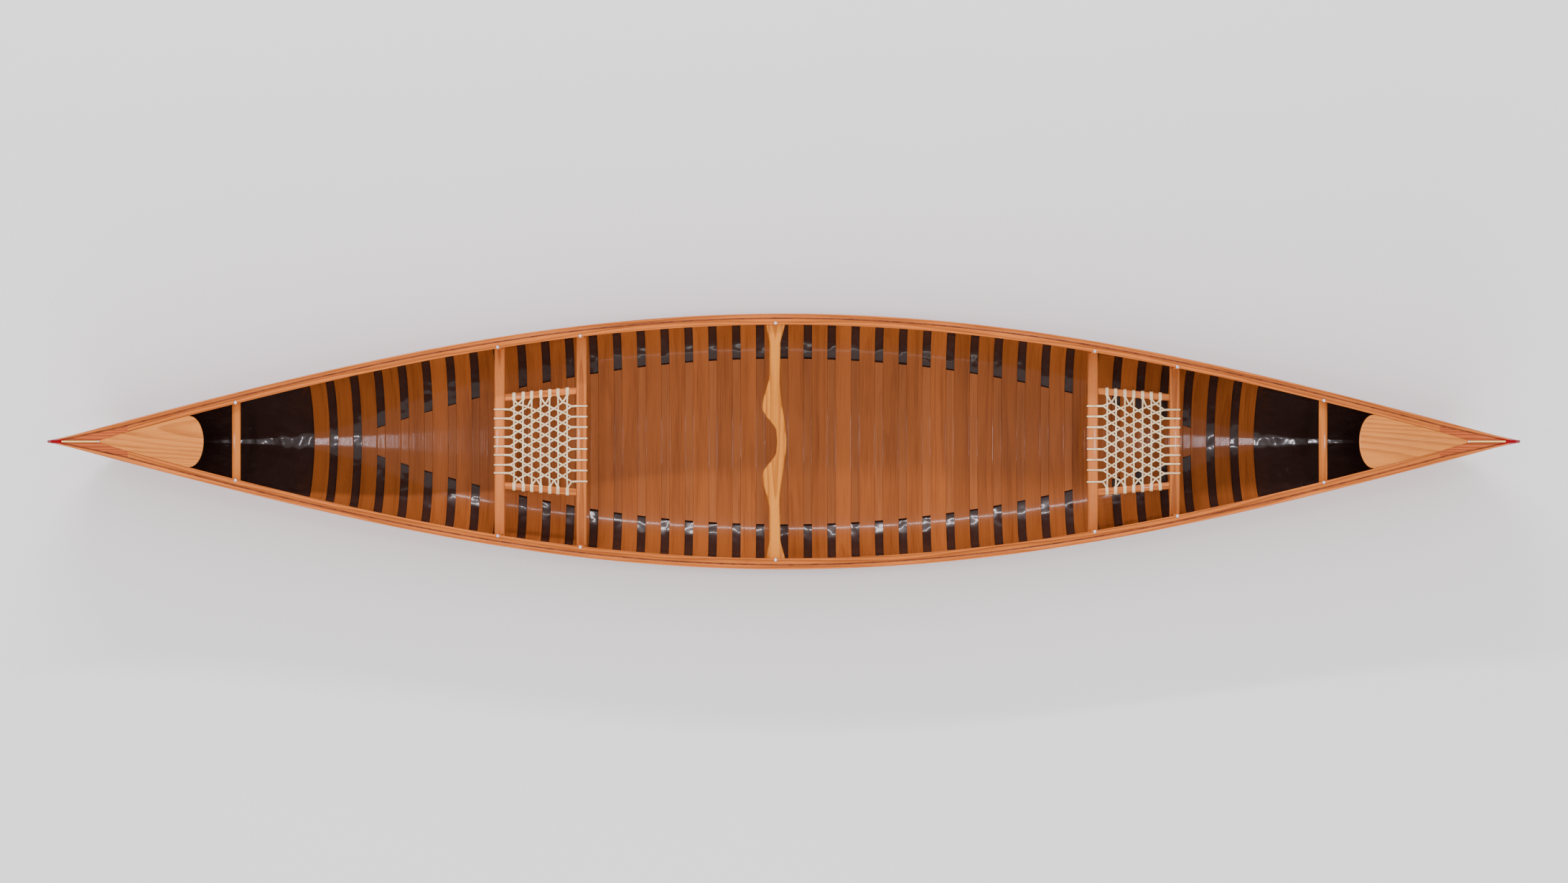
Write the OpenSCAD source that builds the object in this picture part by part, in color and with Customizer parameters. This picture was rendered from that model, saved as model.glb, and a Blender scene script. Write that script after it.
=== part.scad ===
// Sixteen-foot open canoe: moulded hull with wooden ribs, gunwales, decks, yoke and laced seats.
// Frame: +X towards the bow, +Y to port, +Z up, origin under the middle of the keel.

/* [Hull] */
// Length over the two stems
hull_len = 4877; // [4000:1:6000]
// Width over the outside of the gunwales, at the middle
beam = 847; // [700:1:1040]
// Height of the gunwale above the keel, at the middle
mid_depth = 336; // [300:1:420]
// How much higher the gunwale is at the bow than at the middle
bow_rise = 145; // [60:1:220]
// How much higher the gunwale is at the stern than at the middle
stern_rise = 125; // [60:1:220]
// Thickness of the moulded skin
hull_t = 4; // [3:0.5:7]
// Width of the flat strip along the keel
keel_flat_w = 60; // [20:1:120]
// Width of the stem's nose
stem_w = 9; // [6:0.5:16]
// Depth of solid resin behind the stem's nose
stem_core = 24; // [12:1:50]
// Height at which the stem reaches furthest forward
knee_h = 300; // [200:1:330]
// Length of the stem's round from the keel up to that height
stem_reach = 360; // [250:1:500]
// How far the stem's head leans back from its furthest point
stem_tuck = 33.5; // [0:0.5:80]
// How far the sides lean in above the waterline
tumblehome = 5; // [0:0.5:12]

/* [Gunwales] */
// Distance from the stem's furthest point back to the gunwale's tip
gunwale_setback = 55.5; // [45:0.5:120]
// Width of an outwale, on top
outwale_w = 13; // [10:0.5:20]
// Height of an outwale
outwale_h = 22; // [16:0.5:32]
// Width that an outwale narrows to at its tip
outwale_tip_w = 2.5; // [2:0.5:6]
// Length over which an outwale narrows
outwale_taper = 200; // [100:1:400]
// Width of an inwale
inwale_w = 19; // [14:0.5:26]
// Height of an inwale
inwale_h = 19; // [14:0.5:28]
// Distance from the gunwale's tip to the joint between inwale and cheek
cheek_len = 224; // [160:1:320]

/* [Ribs] */
// Number of full ribs
rib_count = 40; // [20:2:44]
// Distance from one rib to the next
rib_pitch = 80; // [66:1:92]
// Resin bed between the hull and the ribs
rib_bed = 0.8; // [0.6:0.1:1.5]
// Width of a rib
rib_w = 52; // [36:1:60]
// Thickness of a rib
rib_t = 6.5; // [4:0.5:10]
// Open gaps at each end of the row of ribs
open_gaps = 2; // [0:1:6]
// Distance from the keel to the end of a half-rib, at the middle
half_rib_reach = 279; // [180:1:300]
// Distance beyond the last half-rib at which the half-ribs would shrink to nothing
half_rib_margin = 140; // [90:1:800]

/* [Decks] */
// Distance from the gunwale's tip to the corners of the bow deck
bow_deck_len = 421; // [300:1:600]
// Distance from the gunwale's tip to the corners of the stern deck
stern_deck_len = 437; // [300:1:600]
// How far a deck's inner edge bows out towards the middle
deck_bulge = 48; // [10:1:80]
// Thickness of a deck
deck_t = 12; // [8:0.5:18]
// Rise of a deck's middle above its sides
deck_crown = 7; // [0:0.5:20]
// Distance from the gunwale's tip to the point of a deck
deck_point = 130; // [100:1:150]
// Width of the light strip between the cheeks
spline_w = 5; // [3:0.5:8]
// Distance from the gunwale's tip to the end of a cheek
cheek_tip = 24; // [20:1:60]

/* [Thwarts and yoke] */
// Distance from the bow deck's corners to the bow thwart
bow_thwart_gap = 155; // [80:1:300]
// Distance from the stern deck's corners to the stern thwart
stern_thwart_gap = 166; // [80:1:300]
// Width of a thwart
thwart_w = 28; // [20:1:45]
// Thickness of a thwart
thwart_t = 18; // [14:0.5:28]
// Distance of the yoke ahead of the middle
yoke_x = 28; // [0:1:60]
// Thickness of the yoke
yoke_t = 22; // [16:0.5:34]
// Distance from the centre line to the peak of each shoulder lobe
lobe_y = 112; // [95:1:130]
// Reach of each shoulder lobe towards the bow
lobe_x = 44; // [34:1:60]

/* [Seats] */
// Distance from the middle to the centre of the bow seat
bow_seat_x = 811; // [600:1:1000]
// Distance from the middle to the centre of the stern seat
stern_seat_x = 1165; // [900:1:1250]
// Height of a seat's top above the keel
seat_h = 236; // [190:1:250]
// Distance between a seat's two cross-bars
seat_bar_pitch = 273; // [220:1:340]
// Width of a seat's cross-bars
seat_bar_w = 34; // [24:1:45]
// Thickness of a seat's frame
seat_bar_t = 20; // [16:0.5:28]
// Width of a seat's side rails
seat_rail_w = 23; // [16:1:30]
// Distance from the centre line to a side rail at the seat's wide end
rail_wide_y = 169; // [140:1:185]
// Distance from the centre line to a side rail at the seat's narrow end
rail_narrow_y = 147; // [120:1:165]
// Thickness of the laced web
web_t = 6; // [4:0.5:8]
// Size of a hanger spacer along the canoe
spacer_w = 21; // [16:1:30]
// Size of a hanger spacer across the canoe
spacer_t = 12; // [10:0.5:16]

/* [Fasteners] */
// Diameter of the hanger and thwart bolts
bolt_d = 5; // [4:0.5:6]
// Diameter of a bolt's head
bolt_head_d = 10.5; // [9:0.5:14]
// Height of a bolt's head
bolt_head_h = 2; // [1.5:0.5:4]
// Diameter of a washer
washer_d = 12; // [11:0.5:16]
// Thickness of a washer
washer_t = 1.2; // [1:0.2:2]
// Size of a nut across its flats
nut_w = 8; // [7:0.5:10]
// Thickness of a nut
nut_t = 4; // [3:0.5:6]
// Distance between outwale screws along the middle of the canoe
screw_pitch = 160; // [110:1:220]
// Diameter of an outwale screw's head
screw_head_d = 7; // [5:0.5:9]
// Distance between outwale screws near the ends
end_screw_pitch = 115; // [80:1:180]
// Diameter of the screw near each deck's point
deck_screw_d = 6; // [5:0.5:8]
// Height of the head of that screw
deck_screw_h = 1.2; // [0.8:0.2:2]
// Length of an outwale screw inside the outwale
screw_len = 9; // [6:0.5:9.5]
// Gap between pieces that fit together
fit = 0.3; // [0.2:0.1:0.5]

/* [Hidden] */
rib_groups = ["bow_end", "bow", "middle", "stern", "stern_end"];
rib_nodes = [for (g = rib_groups) str("full_ribs_", g)];
half_rib_nodes = [for (g = rib_groups) str("half_ribs_", g)];
SIDES = ["port", "starboard"];
ENDS = ["bow", "stern"];
END_PARTS = ["deck", "deck_spline", "thwart", "thwart_bolts", "thwart_nuts"];
SEAT_FRAME = ["outer_bar", "inner_bar", "port_rail", "starboard_rail", "lacing"];
SEAT_PARTS = concat(SEAT_FRAME, ["spacers", "bolts", "nuts"]);

half_len = hull_len / 2;
gunwale_half = half_len - gunwale_setback;
stem_half = stem_w / 2;
keel_half = keel_flat_w / 2;
hull_half = beam / 2 - outwale_w - fit;
// Half-width of the gunwales at their tips, where they meet the stem's nose
tip_half = stem_half + outwale_tip_w + 2 * fit;
// Superellipse power of the middle section, and power of the sheer's sweep
section_power = 3;
sheer_power = 3.5;
// Girth share at which the stem is furthest forward, and how hollow the lower lines are
knee_v = 0.75;
hollow = 0.8;
full_v = 0.85;
// Rows from keel to gunwale, and stations from the middle to each end
rows = 8;
stations = 26;
station_crowding = 0.4;
slope_step = 0.02;
thin_half = 0.8;
hole_d = bolt_d + 2 * fit;
screw_d = screw_head_d * 0.6;
screw_head_h = 1.8;
// Distance from the hull's outside to the inner face of a rib, and to the end of a cross-bar
rib_back = hull_t + rib_bed + rib_t;
bar_back = rib_back + 1;
bolt_back = bar_back + spacer_t / 2;
joint_x = gunwale_half - cheek_len;
bow_thwart_x = gunwale_half - bow_deck_len - bow_thwart_gap;
stern_thwart_x = gunwale_half - stern_deck_len - stern_thwart_gap;

RED = [0.72, 0.02, 0.09];
RIB_BROWN = [0.59, 0.32, 0.15];
FLOOR_BROWN = [0.64, 0.39, 0.24];
GUNWALE_TAN = [0.80, 0.49, 0.24];
DECK_GOLD = [0.80, 0.57, 0.35];
CHEEK_RED = [0.66, 0.36, 0.22];
ASH = [0.82, 0.58, 0.30];
CREAM = [0.92, 0.86, 0.74];
STEEL = [0.75, 0.75, 0.82];

// ---- Shape of the hull ----

// Half-breadth and height of the middle section at girth share v: keel 0, gunwale 1
function mid_y(v) =
    keel_half + (hull_half - keel_half) * pow(sin(90 * v), 2 / section_power)
    + tumblehome * sin(180 * v * v);
function mid_z(v) = mid_depth * (1 - pow(cos(90 * v), 2 / section_power));

// Profile of the stems
function end_rise(x) = x > 0 ? bow_rise : stern_rise;
function stem_x(v) = v < knee_v
    ? half_len - stem_reach * (1 - sin(90 * v / knee_v))
    : half_len - stem_tuck * pow((v - knee_v) / (1 - knee_v), 2);
function stem_z(v, x) = v < knee_v
    ? knee_h * (1 - cos(90 * v / knee_v))
    : knee_h + (mid_depth + end_rise(x) - knee_h) * (v - knee_v) / (1 - knee_v);

// Height of the line at girth share v
function line_z(x, v) =
    mid_z(v) + (stem_z(v, x) - mid_z(v)) * pow(min(1, abs(x) / stem_x(v)), sheer_power);
function sheer_z(x) = line_z(x, 1);
function sheer_slope(x) = atan((sheer_z(x + 1) - sheer_z(x - 1)) / 2);

// Plan of the gunwale's outside, of the outwale's width and of the hull at the gunwale
function gunwale_y(x) =
    tip_half + (beam / 2 - tip_half) * cos(90 * min(1, abs(x) / gunwale_half));
function outwale_width(x) =
    outwale_tip_w + (outwale_w - outwale_tip_w) * min(1, (gunwale_half - abs(x)) / outwale_taper);
function sheer_y(x) = abs(x) < gunwale_half ? gunwale_y(x) - outwale_width(x) - fit : stem_half;
function sheer_share(x) = (sheer_y(x) - stem_half) / (hull_half - stem_half);

// Share of the middle breadth that is left at x, finer low down than at the gunwale
function breadth_share(x, v) =
    let (u = min(1, abs(x) / stem_x(v)))
    let (share = pow(v, 4) * sheer_share(u * stem_x(1)) + (1 - pow(v, 4)) * cos(90 * u))
    pow(max(0, share), 1 + hollow * pow(max(0, full_v - v) / full_v, 1.5));
function hull_point(x, v) =
    [stem_half + (mid_y(v) - stem_half) * breadth_share(x, v), line_z(x, v)];

// The same point moved inwards, square to the section, by inset
function skin_point(x, v, inset) =
    let (low = hull_point(x, max(0, v - slope_step)), high = hull_point(x, min(1, v + slope_step)))
    let (along = (high - low) / norm(high - low), point = hull_point(x, v))
    [max(min(thin_half, point[0]), point[0] - inset * along[1]), point[1] + inset * along[0]];
function row_v(j) = j / rows;
function section(x, inset) = [for (j = [0:rows]) skin_point(x, row_v(j), inset)];

// Half-breadth at height z, and the point at a share of the way between two rows
function side_y(x, z, inset) = lookup(z, [for (p = section(x, inset)) [p[1], p[0]]]);
function between(a, b, share) = a + (b - a) * share;

// ---- Solids from rings of points ----

// Closed solid through rings that have the same number of points
function ring_faces(count, corners, start) = concat(
    [for (i = [0:count - 2]) for (k = [0:corners - 1])
        let (a = start + i * corners, n = (k + 1) % corners)
        [a + k, a + n, a + corners + n, a + corners + k]],
    flipped(cap_faces(corners, start)),
    cap_faces(corners, start + (count - 1) * corners)
);
// End of a ring solid, as strips between the two halves of its ring
function cap_faces(corners, first) = [for (k = [0:corners / 2 - 2])
    [first + k, first + k + 1, first + corners - 2 - k, first + corners - 1 - k]];
function flipped(faces) = [for (f = faces) [for (k = [len(f) - 1:-1:0]) f[k]]];

// One or more ring solids in one polyhedron; each group is a list of rings
module ring_solids(groups, flip = false) {
    corners = len(groups[0][0]);
    starts = [for (i = 0, s = 0; i < len(groups); s = s + len(groups[i]) * corners, i = i + 1) s];
    points = [for (g = groups) for (ring = g) for (p = ring) p];
    faces = [for (i = [0:len(groups) - 1]) for (f = ring_faces(len(groups[i]), corners, starts[i])) f];
    polyhedron(points = points, faces = flip ? flipped(faces) : faces, convexity = 10);
}

function mirrored_y(list) = [for (p = list) [p[0], -p[1], p[2]]];
function reversed(list) = [for (i = [len(list) - 1:-1:0]) list[i]];

// ---- Hull ----

// Shares of the half-length, closer together towards the ends; the last but one is the gunwale's tip
function station_share(i) =
    let (t = min(1, abs(i) / (stations - 1)), tip = gunwale_half / stem_x(1))
    abs(i) == stations
        ? sign(i)
        : sign(i) * tip * ((1 - station_crowding) * t + station_crowding * sin(90 * t));
// Place of a station on the line at girth share v: square to the keel, leaning only near the stems
function station_x(share, v) =
    share * stem_x(1) + sign(share) * (stem_x(v) - stem_x(1)) * pow(abs(share), 6);

// One station of the hull's outside or inside, from port gunwale to starboard gunwale
function hull_ring(i, inset, core) =
    let (side = [for (j = [rows:-1:0])
        let (v = row_v(j), x = station_x(station_share(i), v) * (1 - core / stem_x(v)))
        let (p = skin_point(x, v, inset))
        [x, p[0], j == rows ? sheer_z(x) : p[1]]])
    concat(side, mirrored_y(reversed(side)));

module hull_shell() {
    across = 2 * rows + 2;
    along = 2 * stations + 1;
    total = across * along;
    outside = [for (i = [-stations:stations]) for (p = hull_ring(i, 0, 0)) p];
    inside = [for (i = [-stations:stations]) for (p = hull_ring(i, hull_t, stem_core)) p];
    skin = [for (i = [0:along - 2]) for (k = [0:across - 2])
        let (a = i * across + k) [a, a + 1, a + across + 1, a + across]];
    bow_nose = [for (k = [0:rows - 1])
        let (a = (along - 1) * across) [a + k, a + k + 1, a + across - 2 - k, a + across - 1 - k]];
    stern_nose = [for (k = [0:rows - 1]) [k + 1, k, across - 1 - k, across - 2 - k]];
    shell = concat(skin, bow_nose, stern_nose);
    port_rim = [for (i = [0:along - 2])
        let (a = i * across) [a + across, total + a + across, total + a, a]];
    starboard_rim = [for (i = [0:along - 2])
        let (a = i * across + across - 1) [a, total + a, total + a + across, a + across]];
    bow_rim = let (a = (along - 1) * across, b = a + across - 1) [[a, b, total + b, total + a]];
    stern_rim = let (b = across - 1) [[0, total, total + b, b]];
    inner = [for (f = flipped(shell)) [for (k = f) k + total]];
    color(RED)
        polyhedron(
            points = concat(outside, inside),
            faces = concat(shell, inner, port_rim, starboard_rim, bow_rim, stern_rim),
            convexity = 10
        );
}

// ---- Ribs ----

// Side of a full rib from the keel up to just under the inwale
function rib_side(x, inset) =
    let (s = section(x, inset), top = sheer_z(x) - inwale_h - 2 * fit)
    let (a = s[rows - 1], b = s[rows])
    concat([for (j = [0:rows - 1]) s[j]], [between(a, b, (top - a[1]) / (b[1] - a[1]))]);

// Side of a half-rib from the keel out to a given half-breadth, in the given number of rows
function half_rib_side(x, inset, reach, last) =
    let (s = section(x, inset), a = s[last], b = s[last + 1])
    concat([for (j = [0:last]) s[j]], [between(a, b, (reach - a[0]) / (b[0] - a[0]))]);

// Rings of a strip that lies across the hull: sides are [back, back, front, front] lists of points
function strip_rings(xs, sides) =
    let (last = len(sides[0]) - 1)
    concat(
        [for (i = [last:-1:0]) [for (c = [0:3]) [xs[c], sides[c][i][0], sides[c][i][1]]]],
        [for (i = [0:last]) [for (c = [0:3]) [xs[c], -sides[c][i][0], sides[c][i][1]]]]
    );
function rib_rings(x) =
    let (xs = [x - rib_w / 2, x + rib_w / 2, x + rib_w / 2, x - rib_w / 2])
    let (insets = [hull_t + rib_bed, hull_t + rib_bed, rib_back, rib_back])
    strip_rings(xs, [for (c = [0:3]) rib_side(xs[c], insets[c])]);

half_rib_w = rib_pitch - rib_w - 2 * fit;
function half_rib_end(x) = half_rib_reach * (1 - pow(x / half_rib_run, 2));
// Last whole row that a half-rib reaches, kept short of its end by a margin
function last_row(x, reach) =
    len([for (j = [1:rows - 1]) if (section(x, rib_back)[j][0] < reach - 6) j]);
function half_rib_rings(x) =
    let (xs = [x - half_rib_w / 2, x + half_rib_w / 2, x + half_rib_w / 2, x - half_rib_w / 2])
    let (insets = [hull_t + rib_bed, hull_t + rib_bed, rib_back, rib_back], reach = half_rib_end(x))
    let (last = last_row(x, reach))
    strip_rings(xs, [for (c = [0:3]) half_rib_side(xs[c], insets[c], reach, last)]);

// Places of the ribs and half-ribs from bow to stern, shared out among the groups
rib_places = [for (i = [0:rib_count - 1]) ((rib_count - 1) / 2 - i) * rib_pitch];
half_rib_places = [for (i = [open_gaps:rib_count - 2 - open_gaps]) (rib_count / 2 - 1 - i) * rib_pitch];
half_rib_run = half_rib_places[0] + half_rib_margin;
function group_of(list, g) =
    let (n = len(list), k = len(rib_groups))
    [for (i = [floor(g * n / k):floor((g + 1) * n / k) - 1]) list[i]];

module full_ribs(g) {
    color(RIB_BROWN) ring_solids([for (x = group_of(rib_places, g)) rib_rings(x)]);
}
module half_ribs(g) {
    color(FLOOR_BROWN) ring_solids([for (x = group_of(half_rib_places, g)) half_rib_rings(x)]);
}

// ---- Gunwales ----

// Places along the gunwale between two ends, at the hull's own stations
function gunwale_places(from, to) = concat(
    [from],
    [for (i = [-stations:stations]) let (x = station_share(i) * stem_x(1))
        if (x > from + 5 && x < to - 5) x],
    [to]
);
// Upright strip beside the hull, from one inset to one width further in
function gunwale_ring(x, inset, width, height) =
    let (top = sheer_z(x), low = top - height)
    let (top_y = side_y(x, top, inset), low_y = side_y(x, low, inset))
    [[x, top_y, top], [x, top_y - width, top], [x, low_y - width, low], [x, low_y, low]];

module port_inwale_blank() {
    ring_solids([[for (x = gunwale_places(-joint_x, joint_x))
        gunwale_ring(x, hull_t + fit, inwale_w, inwale_h)]]);
}
module port_outwale_blank() {
    ring_solids([[for (x = gunwale_places(-gunwale_half, gunwale_half))
        gunwale_ring(x, -fit, -outwale_width(x), outwale_h)]], flip = true);
}
module on_side(s) {
    mirror([0, s, 0]) children();
}

// Frame on the gunwale's top at x, level or pitched to follow the sheer
module on_gunwale(x, pitch) {
    translate([x, 0, sheer_z(x)]) rotate([0, -pitch, 0]) children();
}
// Each place where bolts pass through the inwales: x, pitch, and drop to the bar's underside
function seat_drop(x) = sheer_z(x) - seat_h + seat_bar_t;
bolt_places = concat(
    [for (x = [bow_thwart_x, -stern_thwart_x]) [x, sheer_slope(x), inwale_h + thwart_t]],
    [[yoke_x, sheer_slope(yoke_x), inwale_h + yoke_t]],
    [for (e = [0, 1]) for (inner = [false, true])
        [seat_bar_x(e, inner), 0, seat_drop(seat_bar_x(e, inner))]]
);
// Narrowest half-breadth at height z over a width along the canoe
function narrow_y(x, z, width, inset) =
    min(side_y(x - width / 2, z, inset), side_y(x + width / 2, z, inset));
// Distance of a bolt from the centre line, clear of the ribs down to drop below the gunwale's top
function bolt_y(x, drop) = min([for (d = [inwale_h, drop])
    narrow_y(x, sheer_z(x) - d, spacer_w, bolt_back)]);
// Holes for the two bolts of a cross-bar, from one distance to another below the gunwale's top
module bolt_holes(x, drop, from, to) {
    for (s = [-1, 1])
        translate([0, s * bolt_y(x, drop), -to]) cylinder(d = hole_d, h = to - from, $fn = 24);
}

module inwale(s) {
    color(GUNWALE_TAN) on_side(s) difference() {
        port_inwale_blank();
        for (b = bolt_places)
            on_gunwale(b[0], b[1]) bolt_holes(b[0], b[2], -5, inwale_h + 5);
    }
}

// Screws stand about square to the outwale's outer face, closer together near the ends
screw_count = floor(0.7 * gunwale_half / screw_pitch);
end_screw_start = (screw_count - 0.5) * screw_pitch;
end_screw_count = floor((gunwale_half - 40 - end_screw_start) / end_screw_pitch);
half_screw_places = concat(
    [for (i = [0:screw_count - 1]) (i + 0.5) * screw_pitch],
    [for (i = [1:end_screw_count]) end_screw_start + i * end_screw_pitch]
);
screw_places = concat(half_screw_places, [for (x = half_screw_places) -x]);
function screw_depth(x) = min(screw_len, outwale_width(x) - 1.2);
module at_screw(x) {
    z = sheer_z(x) - outwale_h / 2;
    y = side_y(x, z, -fit) + outwale_width(x);
    turn = atan((gunwale_y(x - 1) - gunwale_y(x + 1)) / 2);
    translate([x, y, z]) rotate([0, 0, -turn]) rotate([90, 0, 0]) children();
}
module outwale(s) {
    color(GUNWALE_TAN) on_side(s) difference() {
        port_outwale_blank();
        for (x = screw_places)
            at_screw(x) translate([0, 0, -5])
                cylinder(d = screw_head_d + 2 * fit, h = screw_depth(x) + 5 + fit, $fn = 20);
    }
}
module outwale_screws(s) {
    color(STEEL) on_side(s) for (x = screw_places) at_screw(x) {
        cylinder(d = screw_head_d, h = screw_head_h, $fn = 20);
        cylinder(d = screw_d, h = screw_depth(x), $fn = 20);
    }
}

// ---- Decks and cheeks, built for the bow and turned round for the stern ----

module at_end(e) {
    rotate([0, 0, e == 0 ? 0 : 180]) children();
}
// Sheer of one end, measured along +X for either end
function end_sheer(x, e) = sheer_z(e == 0 ? x : -x);
function end_side(x, z, inset, e) = side_y(e == 0 ? x : -x, z, inset);
point_x = gunwale_half - deck_point;
function inwale_back(x, e) = end_side(x, end_sheer(x, e), hull_t + fit, e) - inwale_w;
function deck_half(x, e) = x < joint_x
    ? inwale_back(x, e) - fit
    : between(spline_w / 2, inwale_back(joint_x, e) - fit, max(0, (point_x - x) / (point_x - joint_x)));
deck_steps = 12;
deck_columns = 8;

module deck(e) {
    corner_x = gunwale_half - (e == 0 ? bow_deck_len : stern_deck_len);
    corner_half = deck_half(corner_x, e);
    rings = [for (i = [0:deck_steps])
        let (row = [for (k = [-deck_columns:deck_columns])
            let (t = k / deck_columns)
            let (edge = corner_x - deck_bulge * sqrt(max(0, 1 - t * t)))
            let (x = between(edge, point_x, i / deck_steps), half = deck_half(max(x, corner_x), e))
            let (y = t * (x < corner_x ? corner_half : half))
            [x, y, end_sheer(x, e) + deck_crown * (1 - t * t) * half / corner_half]])
        concat(row, [for (p = reversed(row)) p - [0, 0, deck_t]])];
    color(DECK_GOLD) at_end(e) ring_solids([rings], flip = true);
}

cheek_places = [for (i = [0:8]) between(joint_x, gunwale_half - cheek_tip, i / 8)];
module cheek(e, s) {
    rings = [for (x = cheek_places)
        let (top = end_sheer(x, e), low = top - inwale_h)
        let (inner = x < point_x ? deck_half(x, e) + fit : spline_w / 2 + fit)
        let (top_y = end_side(x, top, hull_t + fit, e), low_y = end_side(x, low, hull_t + fit, e))
        let (top_in = min(inner, top_y - 0.5), low_in = min(inner, low_y - 0.5))
        [[x, top_y, top], [x, top_in, top], [x, low_in, low], [x, low_y, low]]];
    color(CHEEK_RED) at_end(e) on_side(e == 0 ? s : 1 - s) ring_solids([rings]);
}

spline_places = [for (i = [0:6]) between(point_x + fit, gunwale_half - cheek_tip, i / 6)];
module deck_spline(e) {
    rings = [for (x = spline_places)
        let (top = end_sheer(x, e), half = min(spline_w / 2, end_side(x, top, hull_t + fit, e) - 0.8))
        [[x, half, top], [x, -half, top], [x, -half, top - inwale_h], [x, half, top - inwale_h]]];
    color(ASH) at_end(e) ring_solids([rings]);
}
// One screw near the point of each deck
module deck_screws() {
    color(STEEL) for (e = [0, 1]) at_end(e)
        translate([point_x + fit, 0, end_sheer(point_x + fit, e) + fit])
            cylinder(d = deck_screw_d, h = deck_screw_h, $fn = 20);
}

// ---- Cross-bars ----

// Half-length of a cross-bar that ends just inside the ribs
function bar_half(x, z, width) = narrow_y(x, z, width, bar_back);

// Straight bar with ends cut to the hull's side, its top at drop below the gunwale's, drilled for bolts
module cross_bar(x, drop, width, thick, pitch) {
    half_top = bar_half(x, sheer_z(x) - drop, width);
    half_low = bar_half(x, sheer_z(x) - drop - thick, width);
    on_gunwale(x, pitch) difference() {
        rotate([90, 0, 90]) translate([0, -drop, -width / 2]) linear_extrude(width)
            polygon([[-half_top, 0], [half_top, 0], [half_low, -thick], [-half_low, -thick]]);
        bolt_holes(x, drop + thick, drop - 5, drop + thick + 5);
    }
}
function thwart_place(e) = e == 0 ? bow_thwart_x : -stern_thwart_x;
module thwart(e) {
    x = thwart_place(e);
    color(ASH) cross_bar(x, inwale_h, thwart_w, thwart_t, sheer_slope(x));
}

// Yoke edges at a distance y from the centre line; each list holds [distance, place]
yoke_end_w = 64;
yoke_half = bar_half(yoke_x, sheer_z(yoke_x) - inwale_h, yoke_end_w);
yoke_low_half = bar_half(yoke_x, sheer_z(yoke_x) - inwale_h - yoke_t, yoke_end_w);
yoke_fore = [[0, -5], [30, -3], [lobe_y, lobe_x], [230, 20], [320, 20], [yoke_half, yoke_end_w / 2]];
yoke_aft = [[0, -36], [200, -14], [320, -16], [yoke_half, -yoke_end_w / 2]];
function eased(t) = t * t * (3 - 2 * t);
function edge_at(list, y) =
    let (i = len([for (p = list) if (p[0] <= y) p]) - 1, k = min(max(i, 0), len(list) - 2))
    between(list[k][1], list[k + 1][1], eased(min(1, (y - list[k][0]) / (list[k + 1][0] - list[k][0]))));
yoke_steps = 44;
yoke_edge = 7;

module carrying_yoke() {
    rings = [for (i = [-yoke_steps:yoke_steps])
        let (share = i / yoke_steps, y = abs(share) * yoke_half)
        let (fore = edge_at(yoke_fore, y), aft = edge_at(yoke_aft, y), e = yoke_edge)
        let (ys = share * yoke_half, yl = share * yoke_low_half)
        [[fore - e, ys, 0], [aft + e, ys, 0], [aft, ys, -e], [aft, yl, e - yoke_t],
         [aft + e, yl, -yoke_t], [fore - e, yl, -yoke_t], [fore, yl, e - yoke_t], [fore, ys, -e]]];
    color(ASH) on_gunwale(yoke_x, sheer_slope(yoke_x)) difference() {
        translate([0, 0, -inwale_h]) ring_solids([rings], flip = true);
        bolt_holes(yoke_x, inwale_h + yoke_t, inwale_h - 5, inwale_h + yoke_t + 5);
    }
}

// ---- Seats ----

// Places of a seat's outer and inner cross-bars; the outer one is nearer the end of the canoe
function seat_bar_x(e, inner) = e == 0
    ? bow_seat_x + (inner ? -1 : 1) * seat_bar_pitch / 2
    : -stern_seat_x + (inner ? 1 : -1) * seat_bar_pitch / 2;
web_inset = 3;

module seat_bar(e, inner) {
    x = seat_bar_x(e, inner);
    color(ASH) cross_bar(x, sheer_z(x) - seat_h, seat_bar_w, seat_bar_t, 0);
}

// Corner points of a strip between the two bars, offset sideways from the rail's line
function rail_corner(e, inner, offset) =
    let (towards = seat_bar_x(e, !inner) > seat_bar_x(e, inner) ? 1 : -1)
    [seat_bar_x(e, inner) + towards * (seat_bar_w / 2 + fit),
     (inner ? rail_wide_y : rail_narrow_y) + offset];
module seat_rail(e, s) {
    half = seat_rail_w / 2;
    color(ASH) on_side(s) translate([0, 0, seat_h - seat_bar_t]) linear_extrude(seat_bar_t)
        polygon([
            rail_corner(e, false, -half), rail_corner(e, false, half),
            rail_corner(e, true, half), rail_corner(e, true, -half)
        ]);
}
module seat_lacing(e) {
    inset = -seat_rail_w / 2 - fit;
    outline = [rail_corner(e, false, inset), rail_corner(e, true, inset)];
    color(CREAM) translate([0, 0, seat_h - web_inset]) linear_extrude(web_t)
        polygon(concat(outline, [for (p = reversed(outline)) [p[0], -p[1]]]));
}

// Hanger block from a seat's cross-bar up to the lower edge of the inwale above it
module spacer(x) {
    edge_z = min(sheer_z(x - spacer_w / 2), sheer_z(x + spacer_w / 2));
    tall = edge_z - inwale_h - seat_h;
    difference() {
        translate([-spacer_w / 2, -spacer_t / 2, 0]) cube([spacer_w, spacer_t, tall]);
        translate([0, 0, -5]) cylinder(d = hole_d, h = tall + 10, $fn = 24);
    }
}
module seat_spacers(e) {
    color(ASH) for (inner = [false, true]) for (s = [-1, 1])
        let (x = seat_bar_x(e, inner)) translate([x, s * bolt_y(x, seat_drop(x)), seat_h]) spacer(x);
}

// ---- Bolts and nuts ----

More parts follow.
